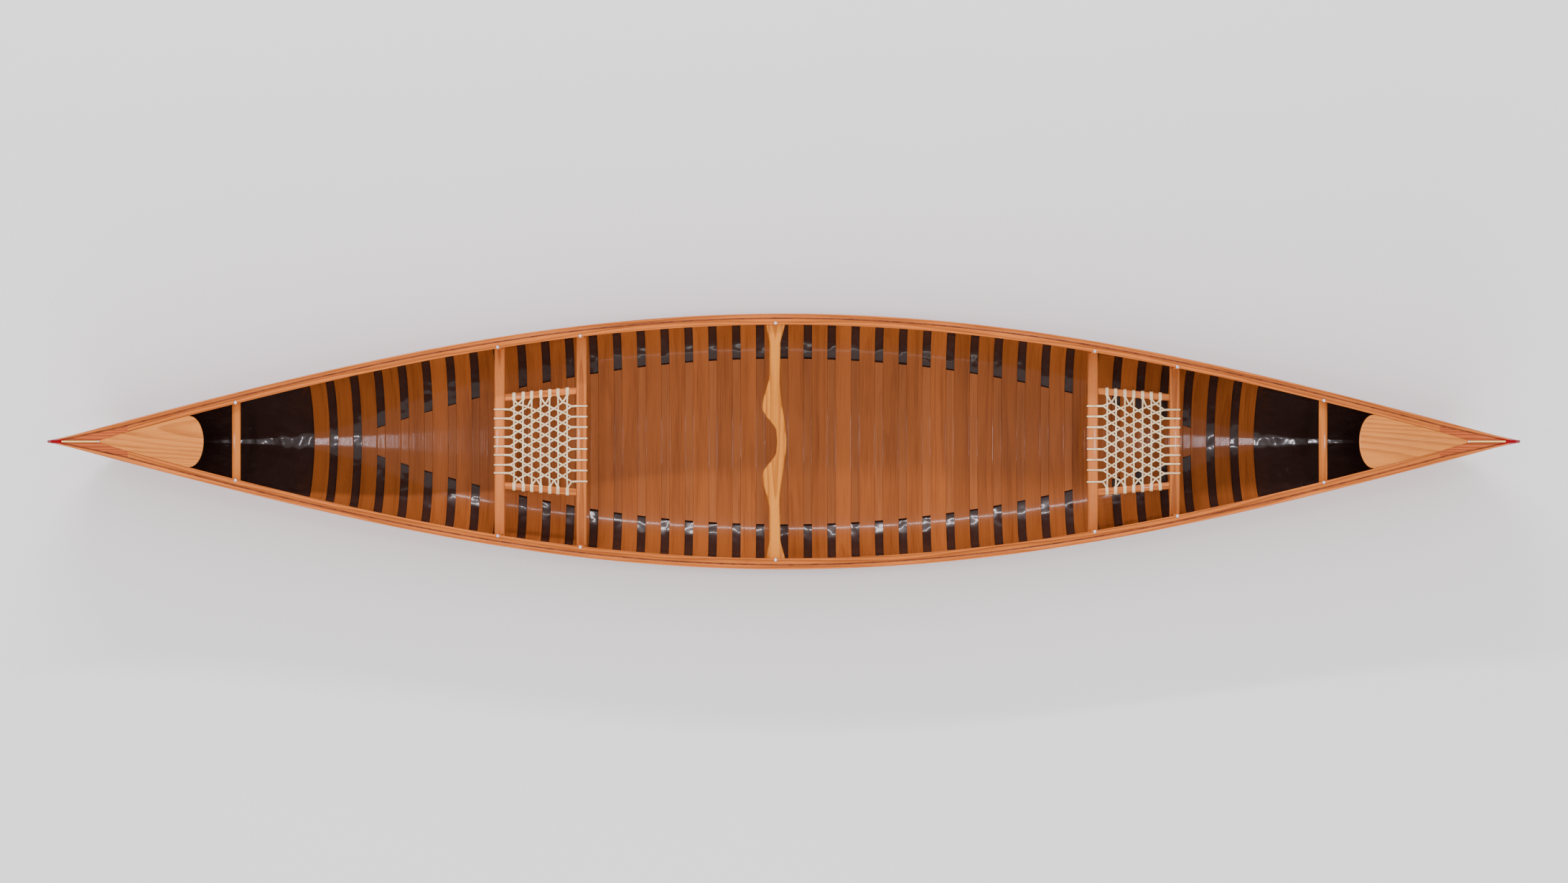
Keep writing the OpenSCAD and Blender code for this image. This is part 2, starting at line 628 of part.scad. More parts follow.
// Headed bolt from the top of the inwale down past a washer and nut
module bolt(length) {
    cylinder(d = bolt_head_d, h = bolt_head_h, $fn = 32);
    translate([0, 0, -length]) cylinder(d = bolt_d, h = length + 0.5, $fn = 24);
}
module washer_and_nut() {
    difference() {
        union() {
            translate([0, 0, -washer_t]) cylinder(d = washer_d, h = washer_t, $fn = 32);
            translate([0, 0, -washer_t - nut_t]) cylinder(d = nut_w / cos(30), h = nut_t, $fn = 6);
        }
        translate([0, 0, -washer_t - nut_t - 1]) cylinder(d = hole_d, h = washer_t + nut_t + 2, $fn = 24);
    }
}
bolt_tail = washer_t + nut_t + 3;
// Bolts, and washers with nuts, for a cross-bar whose underside is at drop below the gunwale's top
module bar_bolts(x, drop, pitch) {
    color(STEEL) on_gunwale(x, pitch) for (s = [-1, 1])
        translate([0, s * bolt_y(x, drop), fit]) bolt(drop + bolt_tail);
}
module bar_nuts(x, drop, pitch) {
    color(STEEL) on_gunwale(x, pitch) for (s = [-1, 1])
        translate([0, s * bolt_y(x, drop), -drop]) washer_and_nut();
}
module thwart_bolts(e) {
    bar_bolts(thwart_place(e), inwale_h + thwart_t, sheer_slope(thwart_place(e)));
}
module thwart_nuts(e) {
    bar_nuts(thwart_place(e), inwale_h + thwart_t, sheer_slope(thwart_place(e)));
}
module yoke_bolts() {
    bar_bolts(yoke_x, inwale_h + yoke_t, sheer_slope(yoke_x));
}
module yoke_nuts() {
    bar_nuts(yoke_x, inwale_h + yoke_t, sheer_slope(yoke_x));
}
module seat_bolts(e) {
    for (inner = [false, true]) bar_bolts(seat_bar_x(e, inner), seat_drop(seat_bar_x(e, inner)), 0);
}
module seat_nuts(e) {
    for (inner = [false, true]) bar_nuts(seat_bar_x(e, inner), seat_drop(seat_bar_x(e, inner)), 0);
}

// ---- Nodes ----

hull_shell();
for (g = [0:len(rib_groups) - 1]) {
    full_ribs(g);
    half_ribs(g);
}
for (s = [0, 1]) {
    inwale(s);
    outwale(s);
    outwale_screws(s);
}
for (e = [0, 1]) {
    for (s = [0, 1]) {
        cheek(e, s);
        seat_rail(e, s);
    }
    deck(e);
    deck_spline(e);
    thwart(e);
    thwart_bolts(e);
    thwart_nuts(e);
    seat_bar(e, false);
    seat_bar(e, true);
    seat_lacing(e);
    seat_spacers(e);
    seat_bolts(e);
    seat_nuts(e);
}
carrying_yoke();
yoke_bolts();
yoke_nuts();
deck_screws();
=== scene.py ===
"""Looks of the canoe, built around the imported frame. Metres; +X bow, +Y port, +Z up."""
import math
import random

import bmesh
import bpy
import numpy as np
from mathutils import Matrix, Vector


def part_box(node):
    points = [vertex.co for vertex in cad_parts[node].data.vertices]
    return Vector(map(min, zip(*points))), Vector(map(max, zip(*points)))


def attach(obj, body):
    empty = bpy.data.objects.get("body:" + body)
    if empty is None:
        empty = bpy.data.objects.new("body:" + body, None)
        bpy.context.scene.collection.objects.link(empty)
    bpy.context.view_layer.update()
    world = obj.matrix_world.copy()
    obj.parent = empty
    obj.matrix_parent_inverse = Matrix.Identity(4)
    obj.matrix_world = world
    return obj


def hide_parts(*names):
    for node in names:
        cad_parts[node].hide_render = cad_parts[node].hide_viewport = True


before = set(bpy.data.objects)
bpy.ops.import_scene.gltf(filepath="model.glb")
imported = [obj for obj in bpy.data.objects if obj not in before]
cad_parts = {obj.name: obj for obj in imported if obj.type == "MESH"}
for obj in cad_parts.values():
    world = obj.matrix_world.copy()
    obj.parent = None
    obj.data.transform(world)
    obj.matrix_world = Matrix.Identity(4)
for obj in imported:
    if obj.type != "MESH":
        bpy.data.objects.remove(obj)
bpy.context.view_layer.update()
random.seed(7)

# ---- Sizes: read from the frame where a node shows them, repeated from the part where none does ----


def side(node, end, axis):
    """One face of a node's box: end 0 is low and 1 is high, axis 0, 1, 2 is x, y, z."""
    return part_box(node)[end][axis]


def middle(node, axis):
    return (side(node, 0, axis) + side(node, 1, axis)) / 2


HALF_LEN = side("hull_shell", 1, 0)
BEAM = 2 * side("port_outwale", 1, 1)
GUNWALE_HALF = side("port_outwale", 1, 0)
JOINT_X = side("port_inwale", 1, 0)
MID_DEPTH = 0.336
BOW_RISE = side("hull_shell", 1, 2) - MID_DEPTH
STERN_RISE = 0.125
HULL_T = 0.004
KEEL_HALF, STEM_HALF, TUMBLEHOME = 0.030, 0.0045, 0.005
KNEE_H, STEM_REACH, STEM_TUCK, KNEE_V = 0.300, 0.360, 0.0335, 0.75
SECTION_POWER, SHEER_POWER = 3, 3.5
HOLLOW, FULL_V, SLOPE_STEP = 0.8, 0.85, 0.02
OUTWALE_W, OUTWALE_H, OUTWALE_TIP_W, OUTWALE_TAPER = 0.013, 0.022, 0.0025, 0.200
INWALE_W, INWALE_H = 0.019, 0.019
FIT = 0.0003
RIB_COUNT, RIB_PITCH, RIB_W, RIB_BED, RIB_T = 40, 0.080, 0.052, 0.0008, 0.0065
OPEN_GAPS, HALF_RIB_REACH, HALF_RIB_MARGIN = 2, 0.279, 0.140
DECK_BULGE, DECK_T, DECK_CROWN, DECK_POINT = 0.048, 0.012, 0.007, 0.130
SPLINE_W = 0.005
# The look fills the tips: cheeks stop this far short of the gunwale's end, the hollow this far from the stem
CHEEK_TIP, LOOK_CORE = 0.012, 0.034
THWART_W, THWART_T = 0.028, 0.018
YOKE_X, YOKE_T, YOKE_END_W = 0.028, 0.022, 0.064
LOBE_Y, LOBE_X = 0.112, 0.044
RAIL_W, RAIL_WIDE_Y, RAIL_NARROW_Y = 0.023, 0.169, 0.147
SEAT_T, SPACER_W, SPACER_T = 0.020, 0.021, 0.012
SCREW_PITCH, END_SCREW_PITCH, SCREW_D = 0.160, 0.115, 0.007
BAR_ROUND, SPACER_ROUND = 0.003, 0.0012
BAR_GAP = 0.001
SHARP_EDGE = math.radians(30)
HULL_HALF = BEAM / 2 - OUTWALE_W - FIT
TIP_HALF = STEM_HALF + OUTWALE_TIP_W + 2 * FIT
RIB_BACK = HULL_T + RIB_BED + RIB_T
BOLT_BACK = RIB_BACK + BAR_GAP + SPACER_T / 2
POINT_X = GUNWALE_HALF - DECK_POINT
QUARTER = math.pi / 2
ENDS = {"bow": 1, "stern": -1}
SIDES = {"port": 1, "starboard": -1}
GROUPS = ["bow_end", "bow", "middle", "stern", "stern_end"]

# ---- Shape of the hull ----


def mid_y(v):
    flare = np.sin(QUARTER * v) ** (2 / SECTION_POWER)
    return KEEL_HALF + (HULL_HALF - KEEL_HALF) * flare + TUMBLEHOME * np.sin(math.pi * v * v)


def mid_z(v):
    return MID_DEPTH * (1 - np.maximum(0, np.cos(QUARTER * v)) ** (2 / SECTION_POWER))


def stem_x(v):
    low = HALF_LEN - STEM_REACH * (1 - np.sin(QUARTER * np.minimum(v, KNEE_V) / KNEE_V))
    high = HALF_LEN - STEM_TUCK * ((v - KNEE_V) / (1 - KNEE_V)) ** 2
    return np.where(v < KNEE_V, low, high)


STEM_TOP = float(stem_x(np.array(1.0)))


def stem_z(v, x):
    top = MID_DEPTH + np.where(x > 0, BOW_RISE, STERN_RISE)
    low = KNEE_H * (1 - np.cos(QUARTER * np.minimum(v, KNEE_V) / KNEE_V))
    return np.where(v < KNEE_V, low, KNEE_H + (top - KNEE_H) * (v - KNEE_V) / (1 - KNEE_V))


def line_z(x, v):
    share = np.minimum(1, np.abs(x) / stem_x(v)) ** SHEER_POWER
    return mid_z(v) + (stem_z(v, x) - mid_z(v)) * share


def sheer_z(x):
    return float(line_z(np.array(float(x)), np.array(1.0)))


def sheer_slope(x):
    return (sheer_z(x + 0.001) - sheer_z(x - 0.001)) / 0.002


def outwale_width(x):
    near = np.clip((GUNWALE_HALF - np.abs(x)) / OUTWALE_TAPER, 0, 1)
    return OUTWALE_TIP_W + (OUTWALE_W - OUTWALE_TIP_W) * near


def sheer_y(x):
    u = np.minimum(1, np.abs(x) / GUNWALE_HALF)
    outer = TIP_HALF + (BEAM / 2 - TIP_HALF) * np.cos(QUARTER * u)
    return np.where(np.abs(x) < GUNWALE_HALF, outer - outwale_width(x) - FIT, STEM_HALF)


def breadth_share(x, v):
    u = np.minimum(1, np.abs(x) / stem_x(v))
    top = (sheer_y(u * STEM_TOP) - STEM_HALF) / (HULL_HALF - STEM_HALF)
    share = v**4 * top + (1 - v**4) * np.cos(QUARTER * u)
    return np.maximum(0, share) ** (1 + HOLLOW * np.maximum(0, (FULL_V - v) / FULL_V) ** 1.5)


def hull_point(x, v):
    y = STEM_HALF + (mid_y(v) - STEM_HALF) * breadth_share(x, v)
    return y, line_z(x, v)


def skin_point(x, v, inset):
    """Half-breadth and height of the hull's outside at girth share v, moved inwards by inset."""
    x, v = np.broadcast_arrays(np.asarray(x, float), np.asarray(v, float))
    y0, z0 = hull_point(x, np.maximum(0, v - SLOPE_STEP))
    y1, z1 = hull_point(x, np.minimum(1, v + SLOPE_STEP))
    y, z = hull_point(x, v)
    run = np.hypot(y1 - y0, z1 - z0)
    thin = np.minimum(0.0008, y)
    return np.maximum(thin, y - inset * (z1 - z0) / run), z + inset * (y1 - y0) / run


def girth_shares(count):
    """Shares from the keel to the gunwale, closer together at both ends."""
    t = np.linspace(0, 1, count)
    return 0.3 * t + 0.7 * (1 - np.cos(math.pi * t)) / 2


FINE_V = girth_shares(120)


def side_y(x, z, inset):
    """Half-breadth at height z."""
    y_row, z_row = skin_point(x, FINE_V, inset)
    return float(np.interp(z, z_row, y_row))


def share_at(x, inset, z=None, y=None):
    """Girth share at which the inset skin reaches a height or a half-breadth."""
    y_row, z_row = skin_point(x, FINE_V, inset)
    return float(np.interp(z, z_row, FINE_V) if y is None else np.interp(y, y_row, FINE_V))


def blend(a, b, share):
    return a + (b - a) * share


# ---- Meshes ----


def new_piece(name, verts, faces, materials, slot, nodes, grain=None, tone=None, sharp=40):
    """A smooth-shaded piece that rides on the root; grain holds each corner's place in its plank."""
    mesh = bpy.data.meshes.new(name)
    mesh.from_pydata([tuple(map(float, p)) for p in verts], [], faces)
    mesh.validate()
    bm = bmesh.new()
    bm.from_mesh(mesh)
    bmesh.ops.recalc_face_normals(bm, faces=bm.faces)
    bm.to_mesh(mesh)
    bm.free()
    return add_piece(name, mesh, materials, slot, nodes, grain, tone, sharp)


def add_piece(name, mesh, materials, slot, nodes, grain, tone, sharp):
    if grain is not None:
        store(mesh, "grain", "FLOAT_VECTOR", "vector", grain)
    if tone is not None:
        store(mesh, "tone", "FLOAT", "value", tone)
    for m in materials:
        mesh.materials.append(m)
    mesh.shade_smooth()
    mesh.set_sharp_from_angle(angle=math.radians(sharp))
    piece = bpy.data.objects.new(name, mesh)
    bpy.context.scene.collection.objects.link(piece)
    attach(piece, "root")
    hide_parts(*nodes)
    return piece


def store(mesh, name, kind, field, values):
    attribute = mesh.attributes.new(name, kind, "POINT")
    attribute.data.foreach_set(field, np.asarray(values, np.float32).ravel())


def ring_faces(rings, corners, start=0, closed=False):
    """Quads between rings of the same number of corners, with flat ends unless the rings close."""
    faces = []
    for i in range(rings if closed else rings - 1):
        for k in range(corners):
            n = (k + 1) % corners
            a, b = start + i * corners, start + (i + 1) % rings * corners
            faces.append((a + k, a + n, b + n, b + k))
    if not closed:
        faces.append(tuple(start + k for k in range(corners)))
        last = start + (rings - 1) * corners
        faces.append(tuple(last + k for k in reversed(range(corners))))
    return faces


def rounded_block(name, outlines, low, high, place, material, slot, node, grain_axis, radius):
    """Upright prisms with every edge rounded. place maps a point of them to the canoe."""
    verts, faces = [], []
    for points in outlines:
        start, n = len(verts), len(points)
        verts += [(x, y, low) for x, y in points] + [(x, y, high) for x, y in points]
        faces.append([start + k for k in reversed(range(n))])
        faces.append([start + n + k for k in range(n)])
        for k in range(n):
            after = (k + 1) % n
            faces.append([start + k, start + after, start + n + after, start + n + k])
    mesh = bpy.data.meshes.new(name)
    mesh.from_pydata(verts, [], faces)
    bm = bmesh.new()
    bm.from_mesh(mesh)
    bmesh.ops.recalc_face_normals(bm, faces=bm.faces)
    edges = [e for e in bm.edges if len(e.link_faces) == 2 and e.calc_face_angle() > SHARP_EDGE]
    bmesh.ops.bevel(bm, geom=edges, offset=radius, segments=3, profile=0.5, affect="EDGES",
                    clamp_overlap=True)
    for v in bm.verts:
        v.co = place(v.co)
    bm.to_mesh(mesh)
    bm.free()
    co = np.array([v.co for v in mesh.vertices])
    seed = random.uniform(0, 9)
    order = {"x": (0, 1, 2), "y": (1, 0, 2), "z": (2, 0, 1)}[grain_axis]
    grain = co[:, order] + [seed, 0, 0]
    grain[:, 1] -= grain[:, 1].mean()
    grain[:, 2] -= grain[:, 2].mean()
    tone = np.full(len(co), random.uniform(-1, 1))
    add_piece(name, mesh, [material], slot, [node], grain, tone, 40)


def tube_rings(points, width, thick, corners=8):
    """Rings of an oval strand that lies flat: wide across, thin upwards from its own path."""
    points = np.asarray(points, float)
    ahead = np.gradient(points, axis=0)
    ahead /= np.linalg.norm(ahead, axis=1)[:, None]
    up = np.array([0.0, 0.0, 1.0])
    across = np.cross(up, ahead)
    lengths = np.linalg.norm(across, axis=1)[:, None]
    across = np.where(lengths > 1e-6, across / np.maximum(lengths, 1e-6), [0.0, 1.0, 0.0])
    rise = np.cross(ahead, across)
    a = np.linspace(0, 2 * math.pi, corners, endpoint=False)
    c, s = np.cos(a)[None, :, None], np.sin(a)[None, :, None]
    return points[:, None] + across[:, None] * c * width / 2 + rise[:, None] * s * thick / 2


def smooth_path(points, step=0.003):
    """Points on a smooth curve through the given ones, about step apart."""
    p = np.asarray(points, float)
    p = np.vstack([2 * p[0] - p[1], p, 2 * p[-1] - p[-2]])
    out = []
    for i in range(1, len(p) - 2):
        count = max(2, int(np.linalg.norm(p[i + 1] - p[i]) / step))
        t = np.linspace(0, 1, count, endpoint=False)[:, None]
        a, b, c, d = p[i - 1], p[i], p[i + 1], p[i + 2]
        out.append(0.5 * (2 * b + (c - a) * t + (2 * a - 5 * b + 4 * c - d) * t**2
                          + (3 * b - a - 3 * c + d) * t**3))
    return np.vstack(out + [p[-2:-1]])


# ---- Materials ----


class Shader:
    """A Principled material with short calls for the nodes that feed it."""

    def __init__(self, name, **sockets):
        self.material = bpy.data.materials.new(name)
        self.material.use_nodes = True
        self.tree = self.material.node_tree
        self.bsdf = self.tree.nodes["Principled BSDF"]
        for socket, value in sockets.items():
            self.bsdf.inputs[socket.replace("_", " ")].default_value = value

    def node(self, kind, inputs=None, **settings):
        n = self.tree.nodes.new("ShaderNode" + kind)
        for key, value in settings.items():
            setattr(n, key, value)
        for key, value in (inputs or {}).items():
            self.feed(n.inputs[key], value)
        return n

    def feed(self, socket, value):
        if isinstance(value, bpy.types.NodeSocket):
            self.tree.links.new(value, socket)
        else:
            socket.default_value = value

    def out(self, socket, value):
        self.feed(self.bsdf.inputs[socket], value)

    def attribute(self, name, output):
        return self.node("Attribute", attribute_name=name).outputs[output]

    def place(self):
        return self.node("TexCoord").outputs["Object"]

    def math(self, operation, a, b=0.0, clamp=False):
        n = self.node("Math", {0: a, 1: b}, operation=operation, use_clamp=clamp)
        return n.outputs[0]

    def stretch(self, vector, scale):
        return self.node("VectorMath", {0: vector, 1: scale}, operation="MULTIPLY").outputs[0]

    def noise(self, vector, scale=1.0, detail=3.0, rough=0.55):
        n = self.node("TexNoise", {"Vector": vector, "Scale": scale, "Detail": detail, "Roughness": rough})
        return n.outputs["Fac"]

    def remap(self, value, low, high, to_low=0.0, to_high=1.0):
        n = self.node("MapRange", {0: value, 1: low, 2: high, 3: to_low, 4: to_high})
        n.interpolation_type = "SMOOTHSTEP"
        return n.outputs[0]

    def mix(self, share, a, b, mode="MIX"):
        n = self.node("Mix", data_type="RGBA", blend_type=mode)
        for key, value in ((0, share), (6, a), (7, b)):
            self.feed(n.inputs[key], value)
        return n.outputs[2]

    def bump(self, height, strength, distance):
        n = self.node("Bump", {"Height": height, "Strength": strength, "Distance": distance})
        self.out("Normal", n.outputs[0])
        self.out("Coat Normal", n.outputs[0])


def rgb(r, g, b):
    """Linear colour of an sRGB one."""
    return tuple(c / 12.92 if c <= 0.04045 else ((c + 0.055) / 1.055) ** 2.4 for c in (r, g, b)) + (1.0,)


def wood(name, light, dark, ring, depth, tilt=0.0, ring_share=0.6, fibre_share=0.35, gloss=0.34,
         coat=0.14, tone_share=0.16, pore_share=0.0):
    """Wood cut from a log: rings about a pith that lies depth below the plank and leans by tilt."""
    s = Shader(name, Coat_Weight=coat, Coat_Roughness=0.10, Specular_IOR_Level=0.05)
    grain = s.attribute("grain", "Vector")
    tone = s.attribute("tone", "Fac")
    warp = s.noise(s.stretch(grain, (1.3, 9.0, 9.0)), detail=2.0)
    axes = s.node("SeparateXYZ", {0: grain}).outputs
    pith = s.math("ADD", s.math("MULTIPLY", s.math("SINE", s.math("MULTIPLY", axes[0], 2.1)), tilt), depth)
    reach = s.math("ADD", axes[2], pith)
    offset = s.math("ADD", axes[1], s.math("MULTIPLY", s.math("SUBTRACT", warp, 0.5), 2.2 * ring))
    squares = s.math("ADD", s.math("MULTIPLY", offset, offset), s.math("MULTIPLY", reach, reach))
    radius = s.math("SQRT", squares)
    turns = s.math("ADD", s.math("DIVIDE", radius, ring), s.math("MULTIPLY", warp, 2.4))
    wave = s.math("FRACT", turns)
    late = s.math("MULTIPLY", s.remap(wave, 0.25, 0.92), s.remap(wave, 1.0, 0.93))
    fibre = s.noise(s.stretch(grain, (7.0, 520.0, 520.0)), detail=4.0, rough=0.6)
    broad = s.noise(s.stretch(grain, (2.0, 30.0, 30.0)), detail=3.0)
    ringed = s.math("MULTIPLY", late, ring_share)
    fibres = s.math("MULTIPLY", s.math("SUBTRACT", fibre, 0.5), fibre_share * 2)
    share = s.math("ADD", ringed, fibres)
    share = s.math("ADD", share, s.math("MULTIPLY", s.math("SUBTRACT", broad, 0.45), 0.7), clamp=True)
    colour = s.mix(share, light, dark)
    if pore_share:
        pores = s.remap(s.noise(s.stretch(grain, (34.0, 1500.0, 1500.0)), detail=1.0), 0.62, 0.72)
        deep = tuple(c * 0.35 for c in dark[:3]) + (1.0,)
        colour = s.mix(s.math("MULTIPLY", pores, pore_share), colour, deep)
    shade = s.math("ADD", 1.0, s.math("MULTIPLY", tone, tone_share))
    cloud = s.noise(s.stretch(s.place(), (2.2, 2.2, 2.2)), detail=4.0)
    blotch = s.math("MULTIPLY", s.math("SUBTRACT", cloud, 0.5), 0.35)
    shade = s.math("ADD", shade, blotch)
    value = s.node("CombineXYZ", {0: shade, 1: shade, 2: shade}).outputs[0]
    s.out("Base Color", s.mix(1.0, colour, value, "MULTIPLY"))
    polish = s.noise(s.stretch(grain, (9.0, 90.0, 90.0)))
    s.out("Roughness", s.remap(polish, 0.3, 0.75, gloss - 0.06, gloss + 0.12))
    s.bump(s.math("ADD", fibre, s.math("MULTIPLY", late, 0.5)), 0.12, 0.0006)
    return s.material


def gelcoat():
    """Deep red, with the orange peel of a moulded skin and a few fine scuffs along its length."""
    s = Shader("gelcoat_red", Coat_Weight=0.18, Coat_Roughness=0.02, Specular_IOR_Level=0.0)
    place = s.place()
    cloud = s.noise(s.stretch(place, (1.2, 1.2, 3.0)), detail=3.0)
    red = s.mix(s.remap(cloud, 0.3, 0.75), rgb(0.51, 0.0, 0.06), rgb(0.56, 0.0, 0.08))
    scuffs = s.remap(s.noise(s.stretch(place, (1.5, 60.0, 260.0)), detail=3.0), 0.72, 0.80)
    low = s.remap(s.node("SeparateXYZ", {0: place}).outputs[2], 0.10, 0.0)
    worn = s.math("MULTIPLY", scuffs, low)
    s.out("Base Color", s.mix(s.math("MULTIPLY", worn, 0.35), red, rgb(0.82, 0.35, 0.38)))
    s.out("Roughness", s.math("ADD", s.remap(cloud, 0.3, 0.7, 0.16, 0.24), s.math("MULTIPLY", worn, 0.3)))
    s.bump(s.noise(place, 130.0, detail=2.0), 0.05, 0.0003)
    return s.material


def resin():
    """Black inside of the moulding, glossy over the faint weave and puddles of the cloth."""
    s = Shader("resin_black", Coat_Weight=0.25, Coat_Roughness=0.06, Specular_IOR_Level=0.2)
    place = s.place()
    cloud = s.noise(place, 9.0, detail=4.0)
    s.out("Base Color", s.mix(cloud, rgb(0.18, 0.11, 0.095), rgb(0.23, 0.145, 0.125)))
    s.out("Roughness", s.remap(cloud, 0.3, 0.7, 0.16, 0.34))
    weave = s.node("TexWave", {"Vector": place, "Scale": 160.0, "Distortion": 1.5, "Detail": 1.0},
                   wave_type="BANDS", bands_direction="DIAGONAL").outputs["Fac"]
    puddle = s.noise(place, 17.0, detail=1.0)
    s.bump(s.math("ADD", puddle, s.math("MULTIPLY", weave, 0.001)), 0.8, 0.010)
    return s.material


def bare_laminate():
    """Sanded edge of the moulding between the gunwale strips: amber glass and resin."""
    s = Shader("laminate_edge", Specular_IOR_Level=0.2)
    cloud = s.noise(s.place(), 40.0, detail=4.0)
    s.out("Base Color", s.mix(s.remap(cloud, 0.35, 0.7), rgb(0.52, 0.25, 0.10), rgb(0.36, 0.16, 0.07)))
    s.out("Roughness", s.remap(cloud, 0.3, 0.7, 0.45, 0.65))
    return s.material


def rawhide():
    """Varnished cream lacing: cloudy, finely pitted, darker in places."""
    s = Shader("rawhide_cream", Specular_IOR_Level=0.45, Subsurface_Weight=0.12, Subsurface_Scale=0.004,
               Coat_Weight=0.35, Coat_Roughness=0.2)
    place = s.place()
    cloud = s.noise(place, 55.0, detail=4.0)
    cream = s.mix(s.remap(cloud, 0.3, 0.75), rgb(0.95, 0.87, 0.72), rgb(0.84, 0.72, 0.53))
    stain = s.remap(s.noise(place, 9.0), 0.5, 0.8, 0.0, 0.35)
    s.out("Base Color", s.mix(stain, cream, rgb(0.74, 0.58, 0.38)))
    s.out("Roughness", s.remap(cloud, 0.3, 0.7, 0.34, 0.55))
    s.bump(s.noise(s.stretch(place, (420.0, 420.0, 420.0)), detail=3.0), 0.35, 0.0005)
    return s.material


def metal(name, bright, dull, gloss):
    """Turned steel, with the marks of the tool and a little tarnish."""
    s = Shader(name, Metallic=1.0)
    place = s.place()
    tarnish = s.remap(s.noise(place, 220.0, detail=4.0), 0.35, 0.75)
    s.out("Base Color", s.mix(tarnish, bright, dull))
    s.out("Roughness", s.remap(tarnish, 0.0, 1.0, gloss, gloss + 0.2))
    s.bump(s.noise(s.stretch(place, (900.0, 900.0, 3000.0)), detail=1.0), 0.15, 0.0002)
    return s.material


RED = gelcoat()
BLACK = resin()
AMBER = bare_laminate()
RIB = wood("rib_cedar", rgb(0.60, 0.33, 0.15), rgb(0.38, 0.18, 0.07), 0.005, 0.030, ring_share=0.25,
           fibre_share=0.9, tone_share=0.16)
FLOOR = wood("floor_cedar", rgb(0.60, 0.34, 0.17), rgb(0.41, 0.21, 0.10), 0.005, 0.045, ring_share=0.2,
             fibre_share=0.9, tone_share=0.14)
GUNWALE = wood("gunwale_mahogany", rgb(0.80, 0.44, 0.18), rgb(0.46, 0.20, 0.06), 0.006, 0.020,
               ring_share=0.6, fibre_share=0.7, pore_share=0.5)
CHEEK = wood("cheek_mahogany", rgb(0.73, 0.36, 0.18), rgb(0.40, 0.15, 0.07), 0.007, 0.018,
             fibre_share=0.6, pore_share=0.5)
DECK = wood("deck_ash", rgb(0.82, 0.50, 0.22), rgb(0.56, 0.28, 0.10), 0.008, 0.040, tilt=0.030,
            ring_share=0.45, fibre_share=0.5, tone_share=0.04, pore_share=0.3)
PALE = wood("spline_maple", rgb(0.92, 0.78, 0.50), rgb(0.80, 0.58, 0.28), 0.006, 0.03)
THWART = wood("thwart_ash", rgb(0.80, 0.46, 0.18), rgb(0.52, 0.25, 0.08), 0.006, 0.022, fibre_share=0.7,
              pore_share=0.4)
YOKE = wood("yoke_ash", rgb(0.84, 0.52, 0.18), rgb(0.58, 0.29, 0.08), 0.009, 0.030, tilt=0.010,
            fibre_share=0.6, pore_share=0.35)
SEAT = wood("seat_ash", rgb(0.78, 0.45, 0.22), rgb(0.52, 0.26, 0.11), 0.006, 0.024, fibre_share=0.7,
            pore_share=0.4)
CREAM = rawhide()
STEEL = metal("bolt_steel", rgb(0.86, 0.87, 0.94), rgb(0.62, 0.62, 0.70), 0.22)
DARK_STEEL = metal("screw_steel", rgb(0.42, 0.38, 0.36), rgb(0.20, 0.17, 0.16), 0.35)

# ---- Hull ----


def hull_stations(count):
    t = np.linspace(-1, 1, count)
    return 0.6 * t + 0.4 * np.sin(QUARTER * t)


def hull_surface(inset, core, count, rows):
    """Grid of one face of the moulding: stations from stern to bow, port gunwale to starboard."""
    share = hull_stations(count)[:, None]
    v = girth_shares(rows)[None, ::-1]
    x = share * STEM_TOP + np.sign(share) * (stem_x(v) - STEM_TOP) * np.abs(share) ** 6
    x = x * (1 - core / stem_x(v))
    y, z = skin_point(x, v, inset)
    z[:, 0] = line_z(x[:, 0], np.ones(count))
    port = np.stack([x, y, z], axis=2)
    return np.concatenate([port, port[:, ::-1] * [1, -1, 1]], axis=1)


def build_hull():
    count, rows, nose = 221, 46, 4
    outside = hull_surface(0, STEM_HALF, count, rows)
    inside = hull_surface(HULL_T, LOOK_CORE, count, rows)
    across = 2 * rows
    verts = list(outside.reshape(-1, 3)) + list(inside.reshape(-1, 3))
    total = count * across
    faces, marks = [], []

    def add(face, mark):
        faces.append(face)
        marks.append(mark)

    for base, mark in ((0, 0), (total, 1)):
        for i in range(count - 1):
            for k in range(across - 1):
                a = base + i * across + k
                add((a, a + 1, a + across + 1, a + across), mark)
    for i in range(count - 1):
        a = i * across
        mark = 0 if abs(verts[a][0]) > GUNWALE_HALF - CHEEK_TIP else 2
        add((a, a + across, total + a + across, total + a), mark)
        b = a + across - 1
        add((b, b + across, total + b + across, total + b), mark)
    for i in (0, count - 1):
        ring = outside[i]
        turn = 1 if i else -1
        columns = [[i * across + k for k in range(rows)]]
        for n in range(1, nose):
            angle = math.pi * n / nose
            start = len(verts)
            for k in range(rows):
                x, y, z = ring[k]
                verts.append((x + turn * y * math.sin(angle), y * math.cos(angle), z))
            columns.append(list(range(start, start + rows)))
        columns.append([i * across + across - 1 - k for k in range(rows)])
        for left, right in zip(columns, columns[1:]):
            for k in range(rows - 1):
                add((left[k], right[k], right[k + 1], left[k + 1]), 0)
        inner = total + i * across
        for k in range(rows - 1):
            add((inner + k, inner + across - 1 - k, inner + across - 2 - k, inner + k + 1), 1)
        rim = [c[0] for c in columns]
        add(tuple(rim + [inner + across - 1, inner]), 0)
        add(tuple(c[-1] for c in columns), 0)
    hull = new_piece("hull_moulding", verts, faces, [RED, BLACK, AMBER], "gelcoat", ["hull_shell"], sharp=50)
    for face, mark in zip(hull.data.polygons, marks):
        face.material_index = mark


# ---- Ribs ----

STRIP_EDGE, STRIP_FLAT = 0.0007, 0.0015


